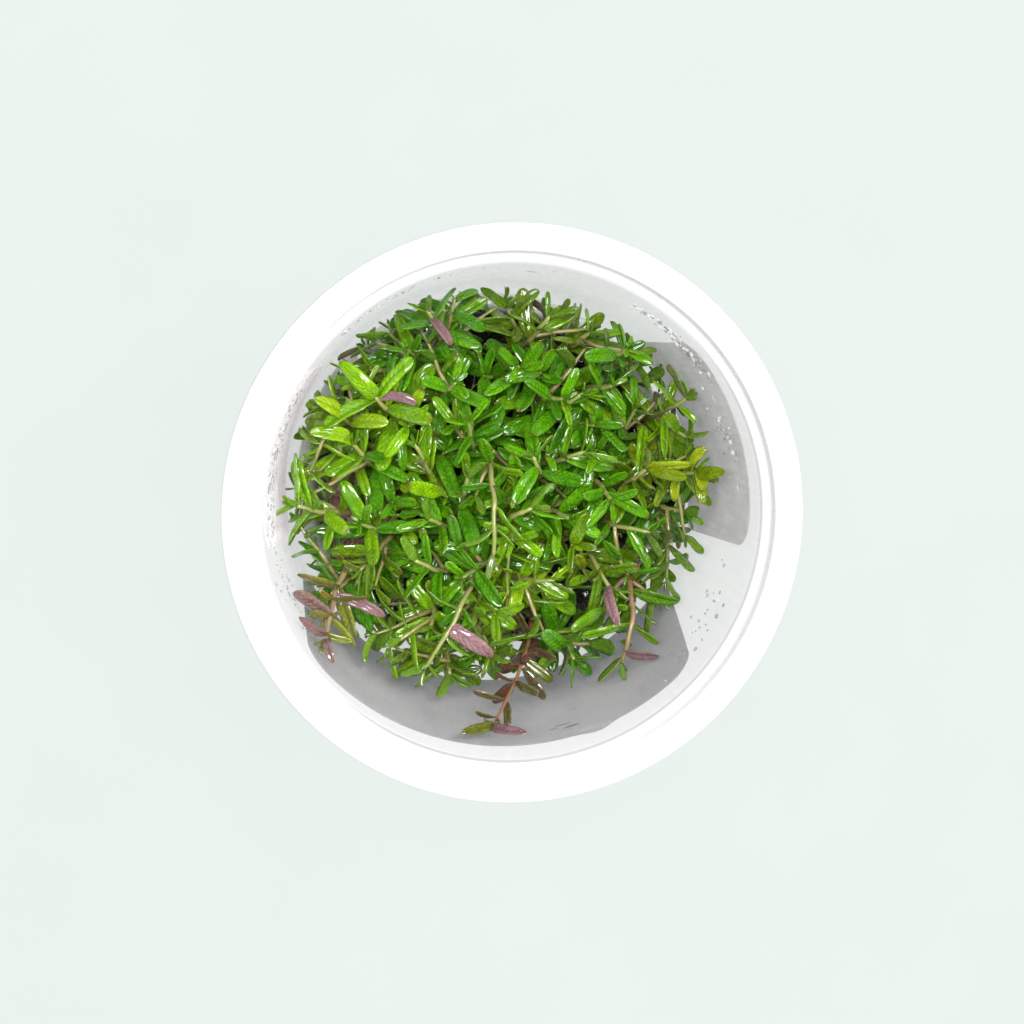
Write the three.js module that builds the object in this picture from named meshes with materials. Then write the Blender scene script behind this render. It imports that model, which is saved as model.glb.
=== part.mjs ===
// A culture cup of Rotala H'ra: a translucent cup with its labels, dark gel, a mat of old roots
// and a dense tuft of leafy shoots. Millimetres, +Z up, the origin under the middle of the foot.

import * as THREE from 'three';
import { mergeVertices } from 'three/addons/utils/BufferGeometryUtils.js';

// The cup
const CUP_HEIGHT = 60;
const RIM_RADIUS = 50;
const FLANGE_INNER_RADIUS = 45.4;
const FLANGE_THICKNESS = 1.1;
const SKIRT_DEPTH = 3.6;
const LEDGE_DROP = 2.8;
const LEDGE_RADIUS = 44.3;
const MOUTH_RADIUS = 43.1;
const MOUTH_HEIGHT = 56.8;
const FLOOR_RADIUS = 37;
const FLOOR_HEIGHT = 2.2;
const WALL_THICKNESS = 0.9;
const FLOOR_FILLET = 1.2;
const FOOT_HEIGHT = 1.1;
const FOOT_INNER_RADIUS = 31;
const FOOT_OUTER_RADIUS = 36.2;
const CUP_SEGMENTS = 36;

// The gap that separate pieces keep where they touch
const GAP = 0.3;

// The labels: middle height, size, and the direction of the middle as an angle from +X
const LABEL_GAP = 0.5;
const LABEL_THICKNESS = 0.25;
const LABEL_CORNER = 5;
const LABELS = [
  { name: 'label_front', width: 78, height: 41, middle: 27, angle: -94, columns: 16 },
  { name: 'label_side', width: 39, height: 38, middle: 28.5, angle: 16, columns: 8 },
  { name: 'label_back', width: 33, height: 36, middle: 27.5, angle: 168, columns: 8 },
];

// The gel: its depth, the lump that climbs the wall, and the bite at the front
const GEL_TOP = 9;
const GEL_SEGMENTS = 24;
const GEL_WAVE = 0.7;
const GEL_LUMP = { x: 34.5, y: -1.5, rise: 10, spread: 4.2 };
const GEL_BITE = { angle: -95, depth: 7, spread: 32 };

// The root mat: an oval cushion of old roots on the gel
const MAT = { x: -23, y: -5, halfX: 9, halfY: 13, rise: 3.2 };
const MAT_SEGMENTS = 14;

// Stems and leaves
const STEM_WIDTH_AT_ROOT = 1.3;
const STEM_WIDTH_AT_TIP = 0.75;
const NODE_HEIGHT = 0.9;
const LEAF_LENGTH = 9.6;
const LEAF_WIDTH = 2.9;
const LEAF_THICKNESS = 0.62;
const FIRST_PAIR = 0.42;
const LAST_PAIR = 0.96;
const CANOPY_TOP = 35.5;
const CANOPY_FALL = 5;
const CANOPY_RADIUS = 37;
const TALLEST_LEAF = 38;
const GROWN_SHOOTS = 38;
const SHOOT_SEED = 4100;
const GOLDEN_ANGLE = 137.508;

// How far apart the middles of stems and leaves stay
const STEM_CLEARANCE = 2.1;
const LEAF_CLEARANCE = 1.55;
const STEM_TO_LEAF = 1.6;
const PLACE_TRIES = 40;
const LEAF_TRIES = 28;

// Shoots whose places stand out: root, bend and tip, with their number of leaf pairs
const MARKED_SHOOTS = [
  { root: [8, -19], bend: [8, -27, 30], tip: [-2.5, -39.4, 45.5], pairs: 6, size: 0.72, colour: 'red' },
  { root: [-24, -10], bend: [-30.5, -13, 36], tip: [-32, -23.6, 44.5], pairs: 5, size: 0.85, colour: 'red' },
  { root: [-3, -12], bend: [-4, -14, 44], tip: [-14.2, -31.5, 33.5], pairs: 4, size: 0.85, colour: 'green' },
  { root: [24, -12], bend: [26, -17, 42], tip: [22.3, -30.8, 33.5], pairs: 5, size: 0.95, colour: 'olive' },
  { root: [-26, -4], bend: [-30, -3, 34], tip: [-37.5, -0.5, 35], pairs: 4, size: 1.0, colour: 'lime' },
  { root: [-22, 10], bend: [-26, 13, 33], tip: [-32, 17.3, 33.5], pairs: 4, size: 1.05, colour: 'lime' },
  { root: [-16, 12], bend: [-19, 15, 37], tip: [-25, 21, 34.5], pairs: 4, size: 1.15, colour: 'green' },
  { root: [-8, 24], bend: [-11, 30, 33], tip: [-13.3, 34.5, 34.5], pairs: 4, size: 0.95, colour: 'green' },
  { root: [18, 20], bend: [20, 25, 32], tip: [22.6, 27.4, 36.5], pairs: 4, size: 1.0, colour: 'green' },
  { root: [26, 12], bend: [30, 15, 34], tip: [34, 18.6, 35.5], pairs: 4, size: 0.9, colour: 'lime' },
  { root: [27, 3], bend: [31, 4, 33], tip: [36, 4.5, 34], pairs: 4, size: 0.9, colour: 'olive' },
  { root: [-2, 14], bend: [-1.5, 7, 46], tip: [-1.5, -11, 35.5], pairs: 5, size: 0.85, colour: 'green' },
];

const COLOURS = {
  green: 0x3a8f16,
  lime: 0x7fae1c,
  olive: 0x7d8a24,
  red: 0x6e2f2a,
};

const rad = THREE.MathUtils.degToRad;

function innerRadius(z) {
  const share = (z - FLOOR_HEIGHT) / (MOUTH_HEIGHT - FLOOR_HEIGHT);
  return FLOOR_RADIUS + (MOUTH_RADIUS - FLOOR_RADIUS) * share;
}

// A repeatable stream of numbers between low and high
function makeDice(seed) {
  let state = seed >>> 0;
  return (low, high) => {
    state = (state + 0x6d2b79f5) >>> 0;
    let mixed = Math.imul(state ^ (state >>> 15), state | 1);
    mixed ^= mixed + Math.imul(mixed ^ (mixed >>> 7), mixed | 61);
    return low + ((high - low) * ((mixed ^ (mixed >>> 14)) >>> 0)) / 4294967296;
  };
}

function merged(geometry) {
  geometry.deleteAttribute('normal');
  geometry.deleteAttribute('uv');
  return mergeVertices(geometry, 1e-4);
}

// Moves every corner of a geometry to where change puts it
function reshape(geometry, change) {
  const position = geometry.attributes.position;
  const point = new THREE.Vector3();
  for (let i = 0; i < position.count; i++) {
    point.fromBufferAttribute(position, i);
    change(point);
    position.setXYZ(i, point.x, point.y, point.z);
  }
  return geometry;
}

// A solid of revolution about +Z from a closed profile of [radius, height] points
function turned(profile, segments) {
  const points = profile.map(([radius, height]) => new THREE.Vector2(radius, height));
  return new THREE.LatheGeometry(points, segments).rotateX(Math.PI / 2);
}

function cupGeometry() {
  const underLedge = MOUTH_HEIGHT - 1.4;
  const ledge = CUP_HEIGHT - LEDGE_DROP;
  const skirtFoot = CUP_HEIGHT - SKIRT_DEPTH;
  const underFlange = CUP_HEIGHT - FLANGE_THICKNESS;
  const filletTop = FLOOR_HEIGHT + FLOOR_FILLET;
  const outside = [
    [0, FOOT_HEIGHT],
    [FOOT_INNER_RADIUS, FOOT_HEIGHT],
    [FOOT_INNER_RADIUS + 0.5, 0],
    [FOOT_OUTER_RADIUS, 0],
    [innerRadius(filletTop) + WALL_THICKNESS, filletTop - 0.6],
    [innerRadius(underLedge) + WALL_THICKNESS, underLedge],
    [LEDGE_RADIUS + WALL_THICKNESS, underLedge + 0.9],
    [FLANGE_INNER_RADIUS + 0.6, underFlange],
    [RIM_RADIUS - 1, underFlange],
    [RIM_RADIUS - 1, skirtFoot],
    [RIM_RADIUS, skirtFoot],
    [RIM_RADIUS, CUP_HEIGHT - 0.9],
    [RIM_RADIUS - 0.9, CUP_HEIGHT],
  ];
  const inside = [
    [FLANGE_INNER_RADIUS, CUP_HEIGHT],
    [LEDGE_RADIUS, ledge],
    [MOUTH_RADIUS, MOUTH_HEIGHT],
    [innerRadius(filletTop), filletTop],
    [FLOOR_RADIUS - FLOOR_FILLET, FLOOR_HEIGHT],
    [0, FLOOR_HEIGHT],
  ];
  return turned([...outside, ...inside], CUP_SEGMENTS);
}

// A flat label rolled round the outside of the tapered wall, so that its ends ride up a little.
// The wall is part of a cone whose point lies far below the cup.
function labelGeometry({ width, height, middle, angle, columns }) {
  const taper = Math.atan((MOUTH_RADIUS - FLOOR_RADIUS) / (MOUTH_HEIGHT - FLOOR_HEIGHT));
  const toPoint = (innerRadius(middle) + WALL_THICKNESS) / Math.sin(taper);
  const flat = new THREE.BoxGeometry(width, height, LABEL_THICKNESS, columns, 1, 1);
  const straight = width / 2 - LABEL_CORNER;
  return reshape(flat, (p) => {
    p.x = (width / 2) * Math.sin((p.x / width) * Math.PI);
    const past = Math.min(Math.max(Math.abs(p.x) - straight, 0), LABEL_CORNER);
    const cut = LABEL_CORNER - Math.sqrt(LABEL_CORNER ** 2 - past ** 2);
    const v = Math.sign(p.y) * (height / 2 - cut * 0.9);
    const away = LABEL_GAP + LABEL_THICKNESS / 2 + p.z;
    const slant = Math.hypot(p.x, toPoint + v);
    const turn = rad(angle) + Math.atan2(p.x, toPoint + v) / Math.sin(taper);
    const radius = slant * Math.sin(taper) + away * Math.cos(taper);
    const z = middle + (slant - toPoint) * Math.cos(taper) - away * Math.sin(taper);
    p.set(radius * Math.cos(turn), radius * Math.sin(turn), z);
  });
}

// Height of the gel's surface
function gelTop(x, y) {
  const wave = Math.sin(x * 0.21 + 0.8) * Math.cos(y * 0.17) + 0.5 * Math.sin(x * 0.4 - y * 0.33);
  const distance = Math.hypot(x - GEL_LUMP.x, y - GEL_LUMP.y);
  return GEL_TOP + GEL_WAVE * wave + GEL_LUMP.rise * Math.exp(-((distance / GEL_LUMP.spread) ** 2));
}

// How far the gel reaches from the axis: to the wall, less the bite at the front
function gelReach(angle, z) {
  const off = Math.atan2(Math.sin(angle - rad(GEL_BITE.angle)), Math.cos(angle - rad(GEL_BITE.angle)));
  const bite = GEL_BITE.depth * Math.exp(-((off / rad(GEL_BITE.spread)) ** 2));
  return innerRadius(z) * Math.cos(Math.PI / CUP_SEGMENTS) - GAP - bite;
}

function gelGeometry() {
  const under = FLOOR_HEIGHT + GAP;
  const rows = [[0, 0], [0.72, 0], [0.955, 0], [0.99, 0.3], [1, 1], [0.87, 1], [0.72, 1], [0.4, 1], [0, 1]];
  const disc = turned(rows, GEL_SEGMENTS);
  return reshape(disc, (p) => {
    const share = Math.hypot(p.x, p.y);
    const angle = Math.atan2(p.y, p.x);
    const across = share * gelReach(angle, under + 1);
    const flatTop = gelTop(across * Math.cos(angle), across * Math.sin(angle));
    const z = under + (flatTop - under) * p.z;
    const radius = share * gelReach(angle, z);
    p.set(radius * Math.cos(angle), radius * Math.sin(angle), z);
  });
}

// 0 in the mat's middle, 1 at its edge
function matOut(x, y) {
  return Math.hypot((x - MAT.x) / MAT.halfX, (y - MAT.y) / MAT.halfY);
}

function matTop(x, y) {
  const ripple = 0.35 * Math.sin(x * 1.3 + y * 0.4) * Math.sin(y * 1.1);
  return gelTop(x, y) + GAP + 0.7 + (MAT.rise + ripple) * Math.sqrt(Math.max(0, 1 - matOut(x, y) ** 2));
}

function matGeometry() {
  const rows = [[0, 0], [0.5, 0], [0.93, 0], [1, 0.5], [0.93, 1], [0.75, 1], [0.4, 1], [0, 1]];
  const disc = turned(rows, MAT_SEGMENTS);
  return reshape(disc, (p) => {
    const x = MAT.x + p.x * MAT.halfX;
    const y = MAT.y + p.y * MAT.halfY;
    const low = gelTop(x, y) + GAP + 0.35;
    p.set(x, y, low + (matTop(x, y) - low) * p.z);
  });
}

// What a shoot stands on
function ground(x, y) {
  return matOut(x, y) < 1 ? matTop(x, y) : gelTop(x, y);
}

function curvePoint(a, b, c, t) {
  return new THREE.QuadraticBezierCurve3(a, b, c).getPoint(t);
}

function closest(points, others) {
  let least = Infinity;
  for (const p of points) {
    for (const q of others) {
      least = Math.min(least, p.distanceToSquared(q));
    }
  }
  return Math.sqrt(least);
}

// A stem's line, with the directions across it that its leaves follow
function makeStem({ root, bend, tip, pairs, size, colour }) {
  const foot = new THREE.Vector3(root[0], root[1], ground(root[0], root[1]) + GAP + 0.65);
  const line = new THREE.QuadraticBezierCurve3(foot, new THREE.Vector3(...bend), new THREE.Vector3(...tip));
  const across = new THREE.Vector3().subVectors(line.v1, line.v0);
  across.cross(new THREE.Vector3().subVectors(line.v2, line.v1)).normalize();
  const marks = line.getPoints(22);
  return { line, across, marks, pairs, size, colour, leaves: [] };
}

// Where a shoot grows by chance: its tip on a sunflower spiral, its root further in
function drawShoot(index, roll) {
  const turn = rad(index * GOLDEN_ANGLE + roll(-16, 16));
  const out = (CANOPY_RADIUS - 1) * Math.sqrt((index + 0.5) / GROWN_SHOOTS) + roll(-2, 2);
  const lean = roll(4, 12);
  const leanTurn = turn + rad(roll(-75, 75)) * (1.4 - out / CANOPY_RADIUS);
  const tipX = out * Math.cos(turn);
  const tipY = out * Math.sin(turn);
  const tipZ = CANOPY_TOP - CANOPY_FALL * (out / CANOPY_RADIUS) ** 2 + roll(-3, 1.2);
  const rootX = tipX - lean * Math.cos(leanTurn);
  const rootY = tipY - lean * Math.sin(leanTurn);
  const early = roll(0.05, 0.3);
  const rise = roll(0.72, 1.02);
  const low = ground(rootX, rootY);
  const bend = [rootX + (tipX - rootX) * early, rootY + (tipY - rootY) * early, low + (tipZ - low) * rise];
  const pairs = Math.floor(roll(4, 5.6));
  const tone = roll(0, 1) + 0.45 * (out / CANOPY_RADIUS) ** 3;
  const colour = tone > 1.05 ? 'olive' : tone > 0.86 ? 'lime' : 'green';
  return { root: [rootX, rootY], bend, tip: [tipX, tipY, tipZ], pairs, size: roll(0.85, 1.1), colour };
}

function stemFits(stem, stems) {
  const [foot, ...rest] = stem.marks;
  const onGel = Math.hypot(foot.x, foot.y) < gelReach(Math.atan2(foot.y, foot.x), foot.z) - 1.5;
  const level = foot.z < GEL_TOP + MAT.rise + 2 && Math.abs(matOut(foot.x, foot.y) - 0.95) > 0.22;
  const clear = rest.every((p) => {
    const inCup = Math.hypot(p.x, p.y) < innerRadius(p.z) - 1.4;
    return inCup && (p.z < foot.z + 3 || p.z > ground(p.x, p.y) + 1.5);
  });
  return onGel && level && clear && stems.every((other) => closest(stem.marks, other.marks) > STEM_CLEARANCE);
}

function makeStems() {
  const stems = MARKED_SHOOTS.map(makeStem);
  for (let index = 0; index < GROWN_SHOOTS; index++) {
    const roll = makeDice(SHOOT_SEED + index);
    for (let turn = 0; turn < PLACE_TRIES; turn++) {
      const stem = makeStem(drawShoot(index, roll));
      if (stemFits(stem, stems)) {
        stems.push(stem);
        break;
      }
    }
  }
  stems.forEach((stem, index) => {
    stem.roll = makeDice(2 * SHOOT_SEED + index);
    stem.twist = stem.roll(0, 90);
  });
  return stems;
}

// The axes of a stem at a place along it: along, and the normals of its four faces
function stemAxes(stem, t) {
  const along = stem.line.getTangent(t);
  const side = new THREE.Vector3().crossVectors(along, stem.across);
  const face = (quarter) => {
    const turn = rad(stem.twist + 90 * quarter);
    return new THREE.Vector3()
      .addScaledVector(stem.across, Math.cos(turn))
      .addScaledVector(side, Math.sin(turn));
  };
  return { along, face };
}

function stemWidth(t) {
  return STEM_WIDTH_AT_ROOT + (STEM_WIDTH_AT_TIP - STEM_WIDTH_AT_ROOT) * t;
}

function pairPlace(stem, pair) {
  return FIRST_PAIR + ((LAST_PAIR - FIRST_PAIR) * pair) / (stem.pairs - 1);
}

// A leaf's middle line and its width direction. Young leaves near the tip are shorter and steeper.
function drawLeaf(stem, pair, quarter, roll, shrink) {
  const t = pairPlace(stem, pair);
  const young = pair / (stem.pairs - 1);
  const { along, face } = stemAxes(stem, t);
  const out = face(quarter).applyAxisAngle(along, rad(roll(-24, 24)));
  const lift = rad(12 + 34 * young ** 2 + roll(-14, 20));
  const droop = rad(roll(-6, 34) - 10 * young);
  const length = stem.size * LEAF_LENGTH * (1.08 - 0.45 * young ** 3) * roll(0.85, 1.12) * shrink;
  const wide = new THREE.Vector3().crossVectors(along, out).normalize();
  const start = stem.line.getPoint(t).addScaledVector(out, stemWidth(t) * 0.5);
  const first = new THREE.Vector3().addScaledVector(out, Math.cos(lift)).addScaledVector(along, Math.sin(lift));
  const second = first.clone().applyAxisAngle(wide, droop);
  const middle = start.clone().addScaledVector(first, length / 2);
  const end = middle.clone().addScaledVector(second, length / 2);
  const width = LEAF_WIDTH * (0.55 + 0.45 * Math.min(1, length / LEAF_LENGTH)) * roll(0.9, 1.15);
  const marks = [];
  for (const share of [0.16, 0.3, 0.42, 0.54, 0.66, 0.78, 0.9, 1]) {
    const spot = curvePoint(start, middle, end, share);
    for (const side of share < 1 ? [-0.38, 0, 0.38] : [0]) {
      marks.push(spot.clone().addScaledVector(wide, side * width));
    }
  }
  return { pair, quarter, start, middle, end, wide, width, marks, centre: curvePoint(start, middle, end, 0.6) };
}

function leafFits(leaf, stem, stems) {
  for (const p of leaf.marks) {
    const tooFar = Math.hypot(p.x, p.y) > innerRadius(p.z) * Math.cos(Math.PI / CUP_SEGMENTS) - 0.7;
    if (tooFar || p.z < ground(p.x, p.y) + 1.2 || p.z > stem.roof) {
      return false;
    }
  }
  const reach = 1.2 * LEAF_LENGTH + LEAF_CLEARANCE;
  for (const other of stems) {
    if (other !== stem && closest(leaf.marks, other.marks) < STEM_TO_LEAF) {
      return false;
    }
    for (const placed of other.leaves) {
      const near = placed.centre.distanceTo(leaf.centre) < reach;
      if (near && closest(leaf.marks, placed.marks) < LEAF_CLEARANCE) {
        return false;
      }
    }
  }
  return true;
}

// Leaves unfold from the tips downwards, each one bent clear of those already there
function growLeaves(stems) {
  for (let fromTip = 0; fromTip < 6; fromTip++) {
    for (const stem of stems) {
      const pair = stem.pairs - 1 - fromTip;
      for (const quarter of pair < 0 ? [] : [pair % 2, (pair % 2) + 2]) {
        for (let turn = 0; turn < LEAF_TRIES; turn++) {
          const leaf = drawLeaf(stem, pair, quarter, stem.roll, 1 - 0.018 * turn);
          if (leafFits(leaf, stem, stems)) {
            stem.leaves.push(leaf);
            break;
          }
        }
      }
    }
  }
}

// One closed skin for a shoot: a square stem whose faces open into leaves at each pair
class ShootSkin {
  constructor(stem) {
    this.corners = [];
    this.triangles = [];
    this.stem = stem;
    const start = this.addRing(0);
    this.addFace(start[0], start[3], start[2], start[1]);
    let below = this.joinRing(start, 0.2);
    for (let pair = 0; pair < stem.pairs; pair++) {
      const t = pairPlace(stem, pair);
      const half = NODE_HEIGHT / 2 / stem.line.getLength();
      below = this.joinRing(below, t - half);
      const leaves = stem.leaves.filter((leaf) => leaf.pair === pair);
      below = this.joinRing(below, t + half, leaves);
    }
    const bud = this.addCorner(stem.line.getPoint(1).addScaledVector(stem.line.getTangent(1), 1.1));
    this.addFan(below, bud);
  }

  toGeometry() {
    const geometry = new THREE.BufferGeometry();
    geometry.setAttribute('position', new THREE.Float32BufferAttribute(this.corners, 3));
    return geometry.setIndex(this.triangles);
  }

  addCorner(point) {
    this.corners.push(point.x, point.y, point.z);
    return this.corners.length / 3 - 1;
  }

  addRing(t) {
    const { face } = stemAxes(this.stem, t);
    const middle = this.stem.line.getPoint(t);
    const half = stemWidth(t) / 2;
    return [0, 1, 2, 3].map((quarter) => {
      const corner = middle.clone().addScaledVector(face(quarter), half).addScaledVector(face(quarter + 1), half);
      corner.z = t === 0 ? middle.z : corner.z;
      return this.addCorner(corner);
    });
  }

  addFace(a, b, c, d) {
    this.triangles.push(a, b, c, a, c, d);
  }

  addFan(ring, point) {
    ring.forEach((corner, i) => this.triangles.push(corner, ring[(i + 1) % ring.length], point));
  }

  // Four side faces up to a new ring, with leaves in place of the faces that carry them
  joinRing(below, t, leaves = []) {
    const above = this.addRing(t);
    for (let quarter = 0; quarter < 4; quarter++) {
      const left = (quarter + 3) % 4;
      const leaf = leaves.find((one) => one.quarter === quarter);
      const sides = [below[left], below[quarter], above[quarter], above[left]];
      if (leaf) {
        this.addLeaf(leaf, sides);
      } else {
        this.addFace(...sides);
      }
    }
    return above;
  }

  addLeaf({ start, middle, end, wide, width }, [lowLeft, lowRight, highRight, highLeft]) {
    const spot = curvePoint(start, middle, end, 0.5);
    const along = new THREE.Vector3().subVectors(end, start).normalize();
    const up = new THREE.Vector3().crossVectors(along, wide).normalize();
    const belly = [
      this.addCorner(spot.clone().addScaledVector(wide, -width / 2)),
      this.addCorner(spot.clone().addScaledVector(up, -LEAF_THICKNESS / 2)),
      this.addCorner(spot.clone().addScaledVector(wide, width / 2)),
      this.addCorner(spot.clone().addScaledVector(up, LEAF_THICKNESS / 2)),
    ];
    const base = [highLeft, lowLeft, lowRight, highRight];
    for (let i = 0; i < 4; i++) {
      this.triangles.push(base[i], base[(i + 1) % 4], belly[i]);
      this.triangles.push(base[(i + 1) % 4], belly[(i + 1) % 4], belly[i]);
    }
    this.addFan(belly, this.addCorner(end));
  }
}

function material(color, roughness, metalness = 0) {
  return new THREE.MeshStandardMaterial({ color, roughness, metalness });
}

function piece(name, geometry, surface) {
  const mesh = new THREE.Mesh(geometry, surface);
  mesh.name = name;
  return mesh;
}

function makeHolder() {
  const holder = new THREE.Group();
  const plastic = material(0xf4f7f6, 0.3);
  plastic.transparent = true;
  plastic.opacity = 0.45;
  holder.add(piece('cup', merged(cupGeometry()), plastic));
  for (const label of LABELS) {
    holder.add(piece(label.name, merged(labelGeometry(label)), material(0xd9dcdb, 0.6)));
  }
  holder.add(piece('gel', merged(gelGeometry()), material(0x0c0b0a, 0.12)));
  holder.add(piece('root_mat', merged(matGeometry()), material(0x8c6656, 0.6)));
  return holder;
}

function makePlants() {
  const plants = new THREE.Group();
  const stems = makeStems();
  stems.forEach((stem) => {
    stem.roof = Math.max(TALLEST_LEAF, stem.line.v2.z + 3);
  });
  growLeaves(stems);
  stems.forEach((stem, index) => {
    const name = `shoot_${String(index + 1).padStart(2, '0')}`;
    plants.add(piece(name, new ShootSkin(stem).toGeometry(), material(COLOURS[stem.colour], 0.35)));
  });
  return plants;
}

const jar = new THREE.Group();
jar.add(makeHolder(), makePlants());

export default jar;
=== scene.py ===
# A culture cup of Rotala H'ra: the finish of every piece, laid out as an add-on with one operator
# for each piece or group of like pieces. Lengths are millimetres up to the making of a mesh.
import math
from functools import partial
from itertools import product

import bpy
import numpy as np
from bpy.props import FloatProperty, FloatVectorProperty, IntProperty, PointerProperty
from mathutils import Matrix, Vector


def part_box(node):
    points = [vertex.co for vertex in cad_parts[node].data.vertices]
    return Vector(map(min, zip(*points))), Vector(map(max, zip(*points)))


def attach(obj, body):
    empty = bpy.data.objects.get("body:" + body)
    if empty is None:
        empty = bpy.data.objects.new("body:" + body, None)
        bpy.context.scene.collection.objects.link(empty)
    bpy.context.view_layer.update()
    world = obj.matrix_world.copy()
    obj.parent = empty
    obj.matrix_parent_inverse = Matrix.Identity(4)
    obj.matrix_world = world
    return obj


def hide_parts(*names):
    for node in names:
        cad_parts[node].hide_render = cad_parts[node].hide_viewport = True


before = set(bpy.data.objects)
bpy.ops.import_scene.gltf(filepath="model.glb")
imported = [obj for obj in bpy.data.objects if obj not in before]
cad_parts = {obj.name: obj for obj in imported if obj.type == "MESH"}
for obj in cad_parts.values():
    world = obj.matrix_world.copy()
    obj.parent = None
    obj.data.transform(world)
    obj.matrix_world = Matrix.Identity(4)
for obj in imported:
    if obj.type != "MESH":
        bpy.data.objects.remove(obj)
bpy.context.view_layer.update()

bl_info = {
    "name": "Rotala H'ra culture cup",
    "version": (1, 0, 0),
    "blender": (4, 5, 0),
    "location": "View3D > Sidebar > Culture Cup",
    "description": "Builds a culture cup of Rotala H'ra stems in their gel",
    "category": "Add Mesh",
}

MM = 0.001

# The cup
RIM_RADIUS, _, CUP_HEIGHT = np.array(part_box("cup")[1]) / MM
FLANGE_INNER_RADIUS = 45.4
FLANGE_THICKNESS = 1.1
SKIRT_DEPTH = 3.6
LEDGE_DROP = 2.8
LEDGE_RADIUS = 44.3
MOUTH_RADIUS = 43.1
MOUTH_HEIGHT = 56.8
FLOOR_RADIUS = 37
FLOOR_HEIGHT = 2.2
WALL_THICKNESS = 0.9
FLOOR_FILLET = 1.2
FOOT_HEIGHT = 1.1
FOOT_INNER_RADIUS = 31
FOOT_OUTER_RADIUS = 36.2
CORNER_RADIUS = 0.55
FINE_SEGMENTS = 192
WALL_TAPER = math.atan((MOUTH_RADIUS - FLOOR_RADIUS) / (MOUTH_HEIGHT - FLOOR_HEIGHT))

# The solid cup has fewer sides, whose flats come a little nearer to the axis than its corners
CUP_SEGMENTS = 36
FLAT_OF_WALL = math.cos(math.pi / CUP_SEGMENTS)

# The gap that separate pieces keep where they touch
GAP = 0.3

# The labels: size, height of the middle, its direction as an angle from +X, and the share by which
# the front one grows wider with each millimetre downwards
LABEL_GAP = 0.12
LABEL_THICKNESS = 0.16
LABEL_CORNER = 5
LABELS = {
    "label_front": {"width": 79, "height": 39.5, "middle": 26.3, "angle": -92.4, "flare": 0.0027},
    "label_side": {"width": 39, "height": 38, "middle": 28.5, "angle": 16},
    "label_back": {"width": 33, "height": 36, "middle": 27.5, "angle": 168},
}

# The gel: its depth, the lump that climbs the wall, the knob on the lump and the bite at the front
GEL_TOP = 9
GEL_WAVE = 0.7
GEL_LUMP = {"x": 34.5, "y": -1.5, "rise": 10, "spread": 4.2}
GEL_KNOB = {"x": 36.1, "y": -4.7, "rise": 6.5, "spread": 2.1}
GEL_BITE = {"angle": -95, "depth": 7, "spread": 32}

# The root mat: an oval cushion of old roots on the gel
MAT = {"x": -23, "y": -5, "half_x": 9, "half_y": 13, "rise": 3.2}

# Stems and leaves
STEM_WIDTH_AT_ROOT = 1.3
STEM_WIDTH_AT_TIP = 0.75
LEAF_LENGTH = 9.6
LONGEST_LEAF = 1.2 * LEAF_LENGTH
LEAF_WIDTH = 2.9
FIRST_PAIR = 0.42
LAST_PAIR = 0.96
CANOPY_TOP = 35.5
CANOPY_FALL = 5
CANOPY_RADIUS = 37
TALLEST_LEAF = 38
GROWN_SHOOTS = 38
SHOOT_SEED = 4100
GOLDEN_ANGLE = 137.508

# How far stems and leaves stay from each other, the wall and the ground, and the tries for each
STEM_CLEARANCE = 2.1
LEAF_CLEARANCE = 1.55
STEM_TO_LEAF = 1.6
STEM_TO_WALL = 1.4
STEM_TO_GROUND = 1.5
ROOT_TO_EDGE = 1.5
WALL_CLEARANCE = 0.7
GROUND_CLEARANCE = 1.2
PLACE_TRIES = 40
LEAF_TRIES = 28

# Shoots whose places stand out: root, bend, tip, number of leaf pairs, size and tone
MARKED_SHOOTS = [
    ((8, -19), (8, -27, 30), (-2.5, -39.4, 45.5), 6, 0.72, "red"),
    ((-24, -10), (-30.5, -13, 36), (-32, -23.6, 44.5), 5, 0.85, "bronze"),
    ((-3, -12), (-4, -14, 44), (-14.2, -31.5, 33.5), 4, 0.85, "green"),
    ((24, -12), (26, -17, 42), (22.3, -30.8, 33.5), 5, 0.95, "blush"),
    ((-26, -4), (-30, -3, 34), (-37.5, -0.5, 35), 4, 1.0, "lime"),
    ((-22, 10), (-26, 13, 33), (-32, 17.3, 33.5), 4, 1.05, "lime"),
    ((-16, 12), (-19, 15, 37), (-25, 21, 34.5), 4, 1.15, "lime"),
    ((-8, 24), (-11, 30, 33), (-13.3, 34.5, 34.5), 4, 0.95, "green"),
    ((18, 20), (20, 25, 32), (22.6, 27.4, 36.5), 4, 1.0, "green"),
    ((26, 12), (30, 15, 34), (34, 18.6, 35.5), 4, 0.9, "lime"),
    ((27, 3), (31, 4, 33), (36, 4.5, 34), 4, 0.9, "olive"),
    ((-2, 14), (-1.5, 7, 46), (-1.5, -11, 35.5), 5, 0.85, "green"),
]

# Tones of the ruddy shoots, which grow without side shoots and with smaller axil leaves
RUDDY = ("red", "bronze")

# Slot of each tone, and the colour that some of its leaves turn to
TONES = {
    "green": ("shoots_green", (0.22, 0.36, 0.006)),
    "lime": ("shoots_lime", (0.3, 0.42, 0.006)),
    "olive": ("shoots_olive", (0.3, 0.36, 0.01)),
    "blush": ("shoots_olive", (0.24, 0.3, 0.01)),
    "bronze": ("shoots_red", (0.2, 0.27, 0.015)),
    "red": ("shoots_red", (0.11, 0.13, 0.01)),
}

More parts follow.
